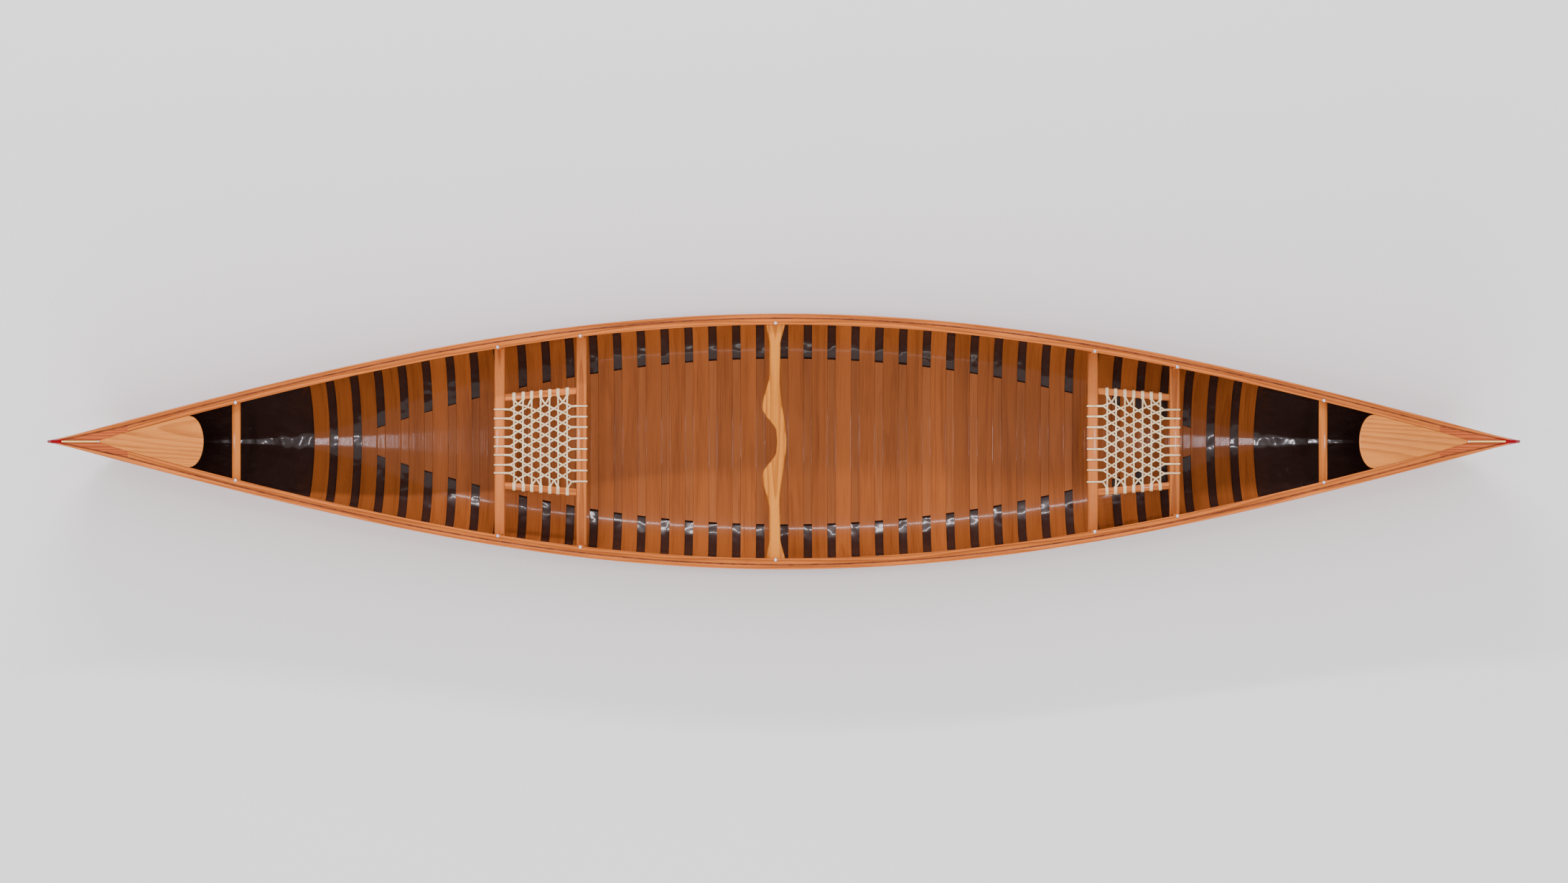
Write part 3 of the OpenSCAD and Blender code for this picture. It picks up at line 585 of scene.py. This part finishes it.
def strip_profile(width):
    """Corners across a rib, as (place across, depth inside the hull's skin), upper edges eased."""
    w, e, inner = width / 2, STRIP_EDGE, RIB_BACK
    half = [(0.0, inner), (w - e - STRIP_FLAT, inner), (w - e, inner), (w - 0.3 * e, inner - 0.3 * e),
            (w, inner - e), (w, HULL_T + RIB_BED)]
    return [(-dx, inset) for dx, inset in half[:0:-1]] + half


def strip_rings(x, width, end_share, steps):
    """Rings of a strip bent to the hull, from its port end over the keel to its starboard end."""
    profile = strip_profile(width)
    ends = [end_share(x + dx, inset) for dx, inset in profile]
    rings = []
    for hand, row in ((1, steps[::-1]), (-1, steps)):
        for t in row:
            ring = []
            for (dx, inset), end in zip(profile, ends):
                y, z = skin_point(x + dx, t * end, inset)
                ring.append((x + dx, hand * float(y), float(z)))
            rings.append(ring)
    return rings


def build_strips(name, node, places, width, end_share, material, slot):
    verts, faces, grain, tone = [], [], [], []
    steps = girth_shares(26)
    for x in places:
        rings = np.array(strip_rings(x, width, end_share, steps))
        start, corners = len(verts), rings.shape[1]
        verts += list(rings.reshape(-1, 3))
        faces += ring_faces(len(rings), corners, start)
        middle_line = rings[:, corners // 2]
        along = np.concatenate([[0], np.cumsum(np.linalg.norm(np.diff(middle_line, axis=0), axis=1))])
        seed, pith = random.uniform(0, 40), random.uniform(-0.03, 0.03)
        for run in along:
            grain += [(run + seed, dx + pith, inset + seed * 0.01) for dx, inset in strip_profile(width)]
        tone += [random.uniform(-1, 1)] * (len(rings) * corners)
    new_piece(name, verts, faces, [material], slot, [node], grain, tone, sharp=60)


def rib_end(x, inset):
    return share_at(x, inset, z=sheer_z(x) - INWALE_H - 2 * FIT)


def group_of(full, g):
    """The g-th of the even groups that the CAD nodes are split into."""
    n, k = len(full), len(GROUPS)
    return full[g * n // k:(g + 1) * n // k]


def build_ribs():
    ribs = [((RIB_COUNT - 1) / 2 - i) * RIB_PITCH for i in range(RIB_COUNT)]
    halves = [(RIB_COUNT / 2 - 1 - i) * RIB_PITCH for i in range(OPEN_GAPS, RIB_COUNT - 1 - OPEN_GAPS)]
    run = halves[0] + HALF_RIB_MARGIN
    half_w = RIB_PITCH - RIB_W - 2 * FIT

    def half_end(x, inset):
        return share_at(x, inset, y=HALF_RIB_REACH * (1 - (x / run) ** 2))

    for g, group in enumerate(GROUPS):
        build_strips("ribs_" + group, "full_ribs_" + group, group_of(ribs, g), RIB_W, rib_end, RIB,
                     "rib_wood")
        build_strips("half_ribs_" + group + "_planks", "half_ribs_" + group, group_of(halves, g), half_w,
                     half_end, FLOOR, "floor_wood")


# ---- Gunwales ----


def rail_profile(round_top_outer, round_rest, width, height, arcs=4):
    """Rounded rectangle, as shares of width (0 at the hull) and height (0 at the top)."""
    corners = [(1, 0, round_top_outer), (1, 1, round_top_outer), (0, 1, round_rest), (0, 0, round_rest)]
    points = []
    for n, (a, b, r) in enumerate(corners):
        ca = a * width + (r if a == 0 else -r)
        cb = b * height + (r if b == 0 else -r)
        for i in range(arcs + 1):
            angle = QUARTER * (i / arcs + n - 1)
            points.append(((ca + r * math.cos(angle)) / width, (cb + r * math.sin(angle)) / height))
    return points


def rail_rings(xs, inset, width_at, height, profile, outward):
    rings, grain = [], []
    along = 0.0
    last = None
    for x in xs:
        top = sheer_z(x)
        width = width_at(x)
        ring = []
        for a, b in profile:
            z = top - b * height
            y = side_y(x, z, inset) + outward * a * width
            ring.append((x, y, z))
        rings.append(ring)
        here = np.array(ring[0])
        along += 0 if last is None else float(np.linalg.norm(here - last))
        last = here
        grain += [(along, a * width, b * height) for a, b in profile]
    return rings, grain


def build_rail(name, node, s, rings, grain, material, slot):
    verts = [(x, s * y, z) for ring in rings for x, y, z in ring]
    seed = random.uniform(0, 30)
    grain = [(a + seed, b, c) for a, b, c in grain]
    tone = np.full(len(verts), random.uniform(-0.6, 0.6))
    faces = ring_faces(len(rings), len(rings[0]))
    new_piece(name, verts, faces, [material], slot, [node], grain, tone)


def build_gunwales():
    inner = rail_profile(0.0030, 0.0010, INWALE_W, INWALE_H)
    outer = rail_profile(0.0050, 0.0010, OUTWALE_W, OUTWALE_H)
    inner_x = np.linspace(-JOINT_X, JOINT_X, 170)
    outer_x = GUNWALE_HALF * hull_stations(200)
    inwale = rail_rings(inner_x, HULL_T + FIT, lambda x: INWALE_W, INWALE_H, inner, -1)
    outwale = rail_rings(outer_x, -FIT, lambda x: float(outwale_width(x)), OUTWALE_H, outer, 1)
    for name, s in SIDES.items():
        build_rail(name + "_inner_gunwale", name + "_inwale", s, *inwale, GUNWALE, "gunwale_wood")
        build_rail(name + "_outer_gunwale", name + "_outwale", s, *outwale, GUNWALE, "gunwale_wood")


# ---- Decks, cheeks and splines, built for the bow and turned round for the stern ----


def end_sheer(x, e):
    return sheer_z(e * x)


def end_side(x, z, inset, e):
    return side_y(e * x, z, inset)


def inwale_back(x, e):
    return end_side(x, end_sheer(x, e), HULL_T + FIT, e) - INWALE_W


def deck_half(x, e):
    if x < JOINT_X:
        return inwale_back(x, e) - FIT
    start = inwale_back(JOINT_X, e) - FIT
    return blend(SPLINE_W / 2, start, max(0.0, (POINT_X - x) / (POINT_X - JOINT_X)))


def build_deck(end, e):
    node = end + "_deck"
    edge_x = side(node, 0, 0) if e > 0 else -side(node, 1, 0)
    corner_x = edge_x + DECK_BULGE
    corner_half = deck_half(corner_x, e)
    steps, columns, lip = 46, 25, 0.003
    verts, grain, rings = [], [], []
    shares = np.concatenate([[0, 0, 0], np.linspace(0, 1, steps)])
    lips = [(lip, lip), (0.35 * lip, 0.35 * lip), (0.0, 0.0)]
    for n, share in enumerate(shares):
        ring = []
        back, drop = lips[min(n, 2)]
        for under in (False, True):
            for k in range(-columns, columns + 1):
                t = (-k if under else k) / columns
                edge = corner_x - DECK_BULGE * math.sqrt(max(0, 1 - t * t))
                x = blend(edge, POINT_X, share)
                half = deck_half(max(x, corner_x), e)
                y = t * (corner_half if x < corner_x else half)
                z = end_sheer(x, e) + DECK_CROWN * (1 - t * t) * half / corner_half
                ring.append((x, y, z - (DECK_T - drop if under else drop)))
        verts += [(e * (x + back), e * y, z) for x, y, z in ring]
        grain += [(x * 0.55, y + 0.012, z * 0.25 + 0.3 * y) for x, y, z in ring]
        rings.append(ring)
    seed = random.uniform(0, 5)
    grain = [(a + seed, b, c) for a, b, c in grain]
    faces = ring_faces(len(rings), len(rings[0]))
    del faces[-2:]
    n = 2 * columns + 1
    for first in (0, (len(rings) - 1) * 2 * n):
        for k in range(n - 1):
            faces.append((first + k, first + k + 1, first + 2 * n - 2 - k, first + 2 * n - 1 - k))
    new_piece(end + "_deck_plate", verts, faces, [DECK], "deck_wood", [node], grain,
              np.zeros(len(verts)), sharp=50)


def build_cheek(end, e, name, s):
    """The cheek of one hand: it runs from the inwale's end to the tip, beside the deck's point."""
    rings, grain = [], []
    for x in np.linspace(JOINT_X, GUNWALE_HALF - CHEEK_TIP, 40):
        top = end_sheer(x, e)
        low = top - INWALE_H
        inner = deck_half(x, e) + FIT if x < POINT_X else SPLINE_W / 2 + FIT
        top_y, low_y = (end_side(x, z, HULL_T + FIT, e) for z in (top, low))
        top_in, low_in = min(inner, top_y - 0.0005), min(inner, low_y - 0.0005)
        ease = min(0.0012, 0.3 * (top_y - top_in))
        ring = [(top_y, top - ease), (top_y - 0.3 * ease, top - 0.3 * ease), (top_y - ease, top),
                (top_in + ease, top), (top_in + 0.3 * ease, top - 0.3 * ease), (top_in, top - ease),
                (low_in, low), (low_y, low)]
        rings.append([(e * x, y, z) for y, z in ring])
        grain += [(x, y, z - top) for y, z in ring]
    build_rail(f"{end}_{name}_cheek_strip", f"{end}_{name}_cheek", s, rings, grain, CHEEK, "cheek_wood")


def build_spline(end, e):
    rings, grain = [], []
    for x in np.linspace(POINT_X + FIT, GUNWALE_HALF - CHEEK_TIP, 24):
        top = end_sheer(x, e)
        half = min(SPLINE_W / 2, end_side(x, top, HULL_T + FIT, e) - 0.0008)
        ease = 0.3 * half
        ring = [(half, -ease), (half - ease, 0.0), (ease - half, 0.0), (-half, -ease), (-half, -INWALE_H),
                (half, -INWALE_H)]
        rings.append([(e * x, y, top + z) for y, z in ring])
        grain += [(x, y, z) for y, z in ring]
    build_rail(end + "_deck_key", end + "_deck_spline", 1, rings, grain, PALE, "light_wood")


# ---- Cross-bars ----


def straight_bar(name, node, material, slot, pitched=False):
    """A bar across the canoe, its ends cut to the hull's slope and, when pitched, leaning with the sheer."""
    lo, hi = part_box(node)
    x, z = (lo[0] + hi[0]) / 2, (lo[2] + hi[2]) / 2
    lean = math.atan(sheer_slope(x)) if pitched else 0.0
    wide, tall = (THWART_W, THWART_T) if pitched else (hi[0] - lo[0], hi[2] - lo[2])
    top = hi[1]
    low = min(top, side_y(x, z - tall / 2, RIB_BACK + BAR_GAP))
    outline = [(-wide / 2, -top), (wide / 2, -top), (wide / 2, top), (-wide / 2, top)]

    def place(co):
        share = (co[2] + tall / 2) / tall
        y = co[1] * blend(low, top, share) / top
        dx = co[0] * math.cos(lean) - co[2] * math.sin(lean)
        dz = co[0] * math.sin(lean) + co[2] * math.cos(lean)
        return (x + dx, y, z + dz)

    rounded_block(name, [outline], -tall / 2, tall / 2, place, material, slot, node, "y", BAR_ROUND)


def edge_at(points, y):
    """Edge of the yoke at a distance y from the centre line, eased between its points."""
    for (y0, x0), (y1, x1) in zip(points, points[1:]):
        if y <= y1:
            t = min(1.0, max(0.0, (y - y0) / (y1 - y0)))
            return blend(x0, x1, t * t * (3 - 2 * t))
    return points[-1][1]


def build_yoke():
    half = side("carrying_yoke", 1, 1)
    low_half = min(half, side_y(YOKE_X, sheer_z(YOKE_X) - INWALE_H - YOKE_T, RIB_BACK + BAR_GAP))
    fore = [(0, -0.005), (0.030, -0.003), (LOBE_Y, LOBE_X), (0.230, 0.020), (0.320, 0.020),
            (half, YOKE_END_W / 2)]
    aft = [(0, -0.036), (0.200, -0.014), (0.320, -0.016), (half, -YOKE_END_W / 2)]
    slope = sheer_slope(YOKE_X)
    top = sheer_z(YOKE_X) - INWALE_H
    steps, ease, arcs = 150, 0.0065, 4
    verts, grain = [], []
    for i in range(-steps, steps + 1):
        share = i / steps
        y = abs(share) * half
        front, back = edge_at(fore, y), edge_at(aft, y)
        profile = []
        for n, (cx, cz) in enumerate([(front - ease, -ease), (front - ease, ease - YOKE_T),
                                      (back + ease, ease - YOKE_T), (back + ease, -ease)]):
            for k in range(arcs + 1):
                angle = QUARTER * (1 - n - k / arcs)
                profile.append((cx + ease * math.cos(angle), cz + ease * math.sin(angle)))
        for dx, dz in profile:
            reach = blend(half, low_half, -dz / YOKE_T)
            verts.append((YOKE_X + dx, share * reach, top + dz + slope * dx))
            grain.append((share * half + 3.0, dx, dz))
    corners = 4 * (arcs + 1)
    new_piece("yoke_carved", verts, ring_faces(2 * steps + 1, corners), [YOKE], "yoke_wood",
              ["carrying_yoke"], grain, np.zeros(len(verts)))


def build_seat_frame(end):
    for part in ("outer_bar", "inner_bar"):
        straight_bar(f"{end}_seat_{part}_rounded", f"{end}_seat_{part}", SEAT, "seat_wood")
    for name, s in SIDES.items():
        build_seat_rail(end, name, s)


def build_seat_rail(end, name, s):
    node = f"{end}_seat_{name}_rail"
    lo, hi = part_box(node)
    (x1, y1), (x0, y0) = rail_ends(end)
    tall, z = hi[2] - lo[2], (lo[2] + hi[2]) / 2
    w = RAIL_W / 2
    outline = [(x0, y0 - w), (x0, y0 + w), (x1, y1 + w), (x1, y1 - w)]

    def place(co):
        return (co[0], s * co[1], z + co[2])

    rounded_block(f"{end}_seat_{name}_side", [outline], -tall / 2, tall / 2, place, SEAT, "seat_wood",
                  node, "x", BAR_ROUND)


def rail_ends(end):
    """Ends of a seat's side rail at the inner and the outer cross-bar: (x, y) on its centre line."""
    lo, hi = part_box(end + "_seat_port_rail")
    near, far = (lo[0], hi[0]) if end == "bow" else (hi[0], lo[0])
    return (near, RAIL_WIDE_Y), (far, RAIL_NARROW_Y)


def build_spacers(end):
    """Hanger blocks from a seat's cross-bars up to the inwales: made unit tall, then stretched to fit."""
    node = end + "_seat_spacers"
    unit, w, t = 0.1, SPACER_W / 2, SPACER_T / 2
    lo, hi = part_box(node)
    low = lo[2]
    outlines, tops = [], []
    for x in (lo[0] + w, hi[0] - w):
        y = bolt_y(x, sheer_z(x) - low + SEAT_T)
        for s in (1, -1):
            outlines.append([(x - w, s * y - t), (x + w, s * y - t), (x + w, s * y + t), (x - w, s * y + t)])
        tops.append((x, min(sheer_z(x - w), sheer_z(x + w)) - INWALE_H))

    def place(co):
        top = min(tops, key=lambda t: abs(t[0] - co[0]))[1]
        return (co[0], co[1], low + co[2] * (top - low) / unit)

    rounded_block(end + "_seat_hangers", outlines, 0.0, unit, place, SEAT, "seat_wood", node, "z",
                  SPACER_ROUND)


def bolt_y(x, drop):
    """Distance of a bolt from the centre line, clear of the ribs down to drop below the gunwale."""
    return min(side_y(px, sheer_z(x) - d, BOLT_BACK)
               for d in (INWALE_H, drop) for px in (x - SPACER_W / 2, x + SPACER_W / 2))


# ---- Lacing ----

STRAND_W, STRAND_T = 0.0054, 0.0030
BAR_WRAPS, LATERALS = 8, 7
NARROW_STEP, WIDE_STEP = 0.0305, 0.0360
WEAVE = 0.0013


def build_lacing(end):
    """Rawhide web of three strand directions, with its wraps round the seat's bars and rails."""
    (near_x, _), (far_x, _) = rail_ends(end)
    top = side(end + "_seat_port_rail", 1, 2)
    rail_t = top - side(end + "_seat_port_rail", 0, 2)
    run = near_x - far_x
    column = run / (LATERALS + 1.1)

    def crossing_x(i):
        """Place of crossing column i, 0 by the outer bar and LATERALS by the inner one."""
        return far_x + run / 2 + (i - LATERALS / 2) * column

    def spacing(i):
        return blend(NARROW_STEP, WIDE_STEP, i / LATERALS)

    def crossing_y(i, h):
        return (h / 2 - 0.3 * i / LATERALS) * spacing(i)

    def rail_y(x):
        return blend(RAIL_NARROW_Y, RAIL_WIDE_Y, (x - far_x) / run)

    def wrap_x(j):
        return crossing_x(j + 0.5) + wrap_shift[j]

    wrap_shift = [random.uniform(-0.0015, 0.0015) for _ in range(LATERALS)]
    shake = random.Random(11 if end == "bow" else 23)
    verts, faces = [], []

    def strand(points, width=STRAND_W, closed=False):
        path = np.asarray(points, float) if closed else smooth_path(points)
        rings = tube_rings(path, width, STRAND_T)
        start = len(verts)
        verts.extend(rings.reshape(-1, 3))
        faces.extend(ring_faces(len(rings), rings.shape[1], start, closed))

    def limit(x):
        return rail_y(x) - RAIL_W / 2 - 0.010

    crossings = {}
    for i in range(LATERALS + 1):
        for h in range(-13, 15):
            x, y = crossing_x(i), crossing_y(i, h)
            inside = abs(y) < limit(x)
            if i == 0:
                inside = abs(h) < BAR_WRAPS
            if i == LATERALS:
                inside = -BAR_WRAPS < h - 1 < BAR_WRAPS
            if (h + i) % 2 == 1 and inside:
                crossings[i, h] = (x + shake.uniform(-0.0012, 0.0012), y + shake.uniform(-0.0014, 0.0014))

    def rail_point(j, s):
        x = wrap_x(j)
        return (x, s * (rail_y(x) - RAIL_W / 2 + 0.001), top - 0.001)

    for turn in (1, -1):
        for h0 in range(-29, 30):
            cells = [(i, h0 + turn * i) for i in range(LATERALS + 1) if (i, h0 + turn * i) in crossings]
            if not cells:
                continue
            points = []
            first, last = cells[0], cells[-1]
            if first[0] > 0:
                points.append(rail_point(first[0] - 1, -turn))
            for n, (i, h) in enumerate(cells):
                x, y = crossings[i, h]
                points.append((x, y, top + turn * WEAVE))
                if n + 1 < len(cells):
                    x2, y2 = crossings[cells[n + 1]]
                    points.append(((x + x2) / 2, (y + y2) / 2, top - turn * WEAVE))
            if last[0] < LATERALS:
                points.append(rail_point(last[0], turn))
            if len(points) > 1:
                strand(points)
    for j in range(LATERALS):
        rungs = []
        for h in range(-13, 15):
            for turn in (1, -1):
                a, b = crossings.get((j, h)), crossings.get((j + 1, h + turn))
                if a and b:
                    rungs.append(((a[1] + b[1]) / 2, turn))
        rungs.sort()
        points = [rail_point(j, -1)]
        points += [(blend(wrap_x(j), crossing_x(j + 0.5), 0.9), y, top + turn * WEAVE) for y, turn in rungs]
        points.append(rail_point(j, 1))
        strand(points)
    for i, h_range in ((0, range(1 - BAR_WRAPS, BAR_WRAPS, 2)),
                       (LATERALS, range(2 - BAR_WRAPS, BAR_WRAPS + 1, 2))):
        node = end + ("_seat_outer_bar" if i == 0 else "_seat_inner_bar")
        lo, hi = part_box(node)
        toward = 1 if crossing_x(i) > (lo[0] + hi[0]) / 2 else -1
        inner = hi[0] if toward > 0 else lo[0]
        for h in h_range:
            if (i, h) not in crossings:
                continue
            x, y = crossings[i, h]
            bar_y = y + shake.uniform(-0.001, 0.001)
            strand([(x, y, top + 0.0005), (blend(x, inner, 0.6), blend(y, bar_y, 0.6), top + 0.001),
                    (inner - toward * 0.004, bar_y, top + STRAND_T * 0.45)], STRAND_W * 1.15)
            strand([(x, y + 0.001, top - 0.002), (blend(x, inner, 0.55), bar_y + 0.001, top - rail_t * 0.45),
                    (inner - toward * 0.001, bar_y + 0.0015, top - rail_t)])
            wrap_loop(strand, (lo[0], hi[0]), (lo[2], hi[2]), lambda a, z, yy=bar_y: (a, yy, z))
    for s in (1, -1):
        for j in range(LATERALS):
            x = wrap_x(j)
            mid = s * rail_y(x)
            for offset in (-0.0025, 0.0027):
                wrap_loop(strand, (mid - RAIL_W / 2, mid + RAIL_W / 2), (top - rail_t, top),
                          lambda a, z, xx=x + offset: (xx, a, z))
    new_piece(end + "_seat_weave", verts, faces, [CREAM], "lacing", [end + "_seat_lacing"], sharp=70)


def wrap_loop(strand, across, upright, point):
    """One turn of the strand round a bar, close against its rounded section."""
    gap, r = STRAND_T * 0.42, 0.0035
    (a0, a1), (z0, z1) = across, upright
    path = []
    for n, (ca, cz) in enumerate([(a1 - r, z1 - r), (a0 + r, z1 - r), (a0 + r, z0 + r), (a1 - r, z0 + r)]):
        for k in range(5):
            angle = QUARTER * (n + k / 4)
            path.append(point(ca + (r + gap) * math.cos(angle), cz + (r + gap) * math.sin(angle)))
    strand(path, closed=True)


# ---- Bolts, nuts and screws ----


def lathe(profile, turns=24):
    """Rings of a turned shape about its own axis, from (radius, height) points."""
    angles = np.linspace(0, 2 * math.pi, turns, endpoint=False)
    return [[(r * math.cos(a), r * math.sin(a), h) for a in angles] for r, h in profile]


def turned_pieces(name, node, places, profile, material, turns=24):
    """Many copies of one turned shape; each place maps a point of the shape to the canoe."""
    verts, faces = [], []
    rings = lathe(profile, turns)
    shape = [p for ring in rings for p in ring]
    shape_faces = ring_faces(len(rings), turns)
    for place in places:
        start = len(verts)
        verts += [place(p) for p in shape]
        faces += [tuple(start + k for k in f) for f in shape_faces]
    new_piece(name, verts, faces, [material], "steel", [node], sharp=35)


def upright_at(x, y, z, slope):
    lean = math.atan(slope)
    c, s = math.cos(lean), math.sin(lean)
    return lambda p: (x + p[0] * c - p[2] * s, y + p[1], z + p[0] * s + p[2] * c)


def bolt_set(name, node, xs, drop_of, pitched):
    """Domed bolts, a pair at each x, each as long as its own stack of parts."""
    head_r, head_h, shank_r, tail = 0.00525, 0.0020, 0.0025, 0.0082
    turns = 24
    verts, faces = [], []
    for x in xs:
        slope = sheer_slope(x) if pitched else 0.0
        drop = drop_of(x)
        y = bolt_y(x, drop)
        profile = [(0.0004, head_h)] + [(head_r * math.sin(a), head_h * math.cos(a) ** 0.8 * 0.92 + 0.0001)
                                        for a in np.linspace(0.25, QUARTER - 0.05, 7)]
        profile += [(head_r, 0.0), (shank_r, 0.0), (shank_r, -drop - tail), (0.0018, -drop - tail - 0.0006)]
        for s in (1, -1):
            place = upright_at(x, s * y, sheer_z(x) + FIT, slope)
            start = len(verts)
            verts += [place(p) for ring in lathe(profile, turns) for p in ring]
            faces += ring_faces(len(profile), turns, start)
    new_piece(name, verts, faces, [STEEL], "steel", [node], sharp=35)


def nut_set(name, node, xs, drop_of, pitched):
    """A washer with a six-sided nut under it, for each bolt."""
    washer_r, washer_t, nut_r, nut_t, hole = 0.006, 0.0012, 0.0046, 0.004, 0.0028
    verts, faces = [], []
    for x in xs:
        slope = sheer_slope(x) if pitched else 0.0
        drop = drop_of(x)
        y = bolt_y(x, drop)
        seat = -drop - washer_t
        washer = [(hole, seat), (hole, -drop), (washer_r - 0.0003, -drop), (washer_r, -drop - 0.0004),
                  (washer_r, seat + 0.0003), (washer_r - 0.0003, seat)]
        nut = [(hole, seat - nut_t), (hole, seat), (nut_r - 0.0004, seat), (nut_r, seat - 0.0006),
               (nut_r, seat - nut_t + 0.0006), (nut_r - 0.0005, seat - nut_t)]
        for s in (1, -1):
            place = upright_at(x, s * y, sheer_z(x), slope)
            for turns, profile in ((28, washer), (6, nut)):
                start = len(verts)
                verts += [place(p) for ring in lathe(profile, turns) for p in ring]
                faces += ring_faces(len(profile), turns, start, closed=True)
    new_piece(name, verts, faces, [STEEL], "steel", [node], sharp=35)


def build_fasteners():
    seat_top = side("bow_seat_inner_bar", 1, 2)
    for end in ENDS:
        x = middle(end + "_thwart", 0)
        for label, xs, drop_of, pitched in (
            ("thwart", [x], lambda x: INWALE_H + THWART_T, True),
            ("seat", [middle(end + "_seat_outer_bar", 0), middle(end + "_seat_inner_bar", 0)],
             lambda x: sheer_z(x) - seat_top + SEAT_T, False),
        ):
            bolt_set(f"{end}_{label}_bolt_heads", f"{end}_{label}_bolts", xs, drop_of, pitched)
            nut_set(f"{end}_{label}_nut_washers", f"{end}_{label}_nuts", xs, drop_of, pitched)
    yoke_drop = lambda x: INWALE_H + YOKE_T
    bolt_set("yoke_bolt_heads", "yoke_bolts", [YOKE_X], yoke_drop, True)
    nut_set("yoke_nut_washers", "yoke_nuts", [YOKE_X], yoke_drop, True)
    build_screws()


def screw_places():
    count = int(0.7 * GUNWALE_HALF / SCREW_PITCH)
    start = (count - 0.5) * SCREW_PITCH
    ends = int((GUNWALE_HALF - 0.040 - start) / END_SCREW_PITCH)
    half = [(i + 0.5) * SCREW_PITCH for i in range(count)]
    half += [start + i * END_SCREW_PITCH for i in range(1, ends + 1)]
    return half + [-x for x in half]


def build_screws():
    head = SCREW_D / 2
    profile = [(0.0008, 0.0007), (0.0011, -0.0001), (head - 0.0009, -0.00025), (head - 0.0002, -0.0001),
               (head, 0.0003), (head * 0.62, 0.0018), (head * 0.55, 0.0042)]
    for name, s in SIDES.items():
        places = []
        for x in screw_places():
            z = sheer_z(x) - OUTWALE_H / 2
            width = float(outwale_width(x))
            y = side_y(x, z, -FIT) + width
            u = QUARTER / GUNWALE_HALF
            slope = -(BEAM / 2 - TIP_HALF) * u * math.sin(u * abs(x)) * math.copysign(1, x)
            out = np.array([-slope, 1.0, 0.0]) / math.hypot(slope, 1)
            along = np.array([out[1], -out[0], 0.0])
            origin = np.array([x, y, z])

            def place(p, origin=origin, out=out, along=along, s=s):
                q = origin + along * p[0] - out * p[2]
                return (q[0], s * q[1], q[2] + p[1])
            places.append(place)
        turned_pieces(name + "_screw_heads", name + "_outwale_screws", places, profile, DARK_STEEL,
                      turns=16)
    deck_profile = [(0.0004, 0.0006), (0.0018, 0.0011), (0.0028, 0.0009), (0.0030, 0.0), (0.0030, -0.0002)]
    x = POINT_X + FIT
    places = [upright_at(e * x, 0.0, end_sheer(x, e) + FIT, sheer_slope(e * POINT_X)) for e in ENDS.values()]
    turned_pieces("deck_screw_heads", "deck_screws", places, deck_profile, STEEL)


# ---- Stage, light and camera ----


def build_stage():
    floor_mesh = bpy.data.meshes.new("floor")
    wide = 30.0
    floor_mesh.from_pydata([(-wide, -wide, 0), (wide, -wide, 0), (wide, wide, 0), (-wide, wide, 0)], [],
                           [(0, 1, 2, 3)])
    s = Shader("floor_pale", Roughness=0.75, Specular_IOR_Level=0.2)
    s.out("Base Color", s.mix(s.noise(s.place(), 0.6), rgb(0.95, 0.95, 0.955), rgb(0.975, 0.975, 0.98)))
    floor_mesh.materials.append(s.material)
    floor = bpy.data.objects.new("floor", floor_mesh)
    floor.location.z = -0.0005
    bpy.context.scene.collection.objects.link(floor)


def area_light(name, place, aim, size, power, colour=(1.0, 1.0, 1.0)):
    data = bpy.data.lights.new(name, "AREA")
    data.shape = "RECTANGLE"
    data.size, data.size_y = size
    data.energy = power
    data.color = colour
    light = bpy.data.objects.new(name, data)
    light.location = place
    direction = np.array(aim, float) - np.array(place, float)
    light.rotation_euler = Vector(direction).to_track_quat("-Z", "Y").to_euler()
    bpy.context.scene.collection.objects.link(light)


def build_light():
    world = bpy.data.worlds.new("studio")
    world.use_nodes = True
    background = world.node_tree.nodes["Background"]
    background.inputs["Color"].default_value = (1.0, 0.99, 0.98, 1.0)
    background.inputs["Strength"].default_value = 1.3
    bpy.context.scene.world = world
    area_light("starboard_key", (1.6, -8.5, 5.8), (0, 0, 0.2), (6.0, 0.22), 620, (1.0, 0.94, 0.99))
    area_light("port_fill", (0, 9.5, 3.5), (0, 0, 0.2), (10.0, 2.0), 450, (1.0, 0.98, 0.96))
    for e in (1, -1):
        area_light(f"end_{e}", (2.15 * e, 0.0, 6.0), (1.5 * e, 0, 0.0), (0.42, 0.28), 48, (0.95, 0.90, 1.0))


def build_camera():
    """Straight down, as the plan view is seen, with the bow at the left."""
    data = bpy.data.cameras.new("plan")
    distance, width = 16.0, 5.19
    level = MID_DEPTH
    data.sensor_width = 36.0
    data.lens = data.sensor_width * distance / width
    data.clip_end = 200.0
    camera = bpy.data.objects.new("plan", data)
    camera.location = (0.0, 0.0, level + distance)
    camera.rotation_euler = (0.0, 0.0, math.pi)
    bpy.context.scene.collection.objects.link(camera)
    bpy.context.scene.camera = camera


build_camera()
build_hull()
build_ribs()
build_gunwales()
for end_name, end_sign in ENDS.items():
    build_deck(end_name, end_sign)
    for side_name, side_sign in SIDES.items():
        build_cheek(end_name, end_sign, side_name, side_sign)
    build_spline(end_name, end_sign)
    straight_bar(end_name + "_thwart_rounded", end_name + "_thwart", THWART, "thwart_wood", pitched=True)
    build_seat_frame(end_name)
    build_spacers(end_name)
    build_lacing(end_name)
build_yoke()
build_fasteners()
build_stage()
build_light()
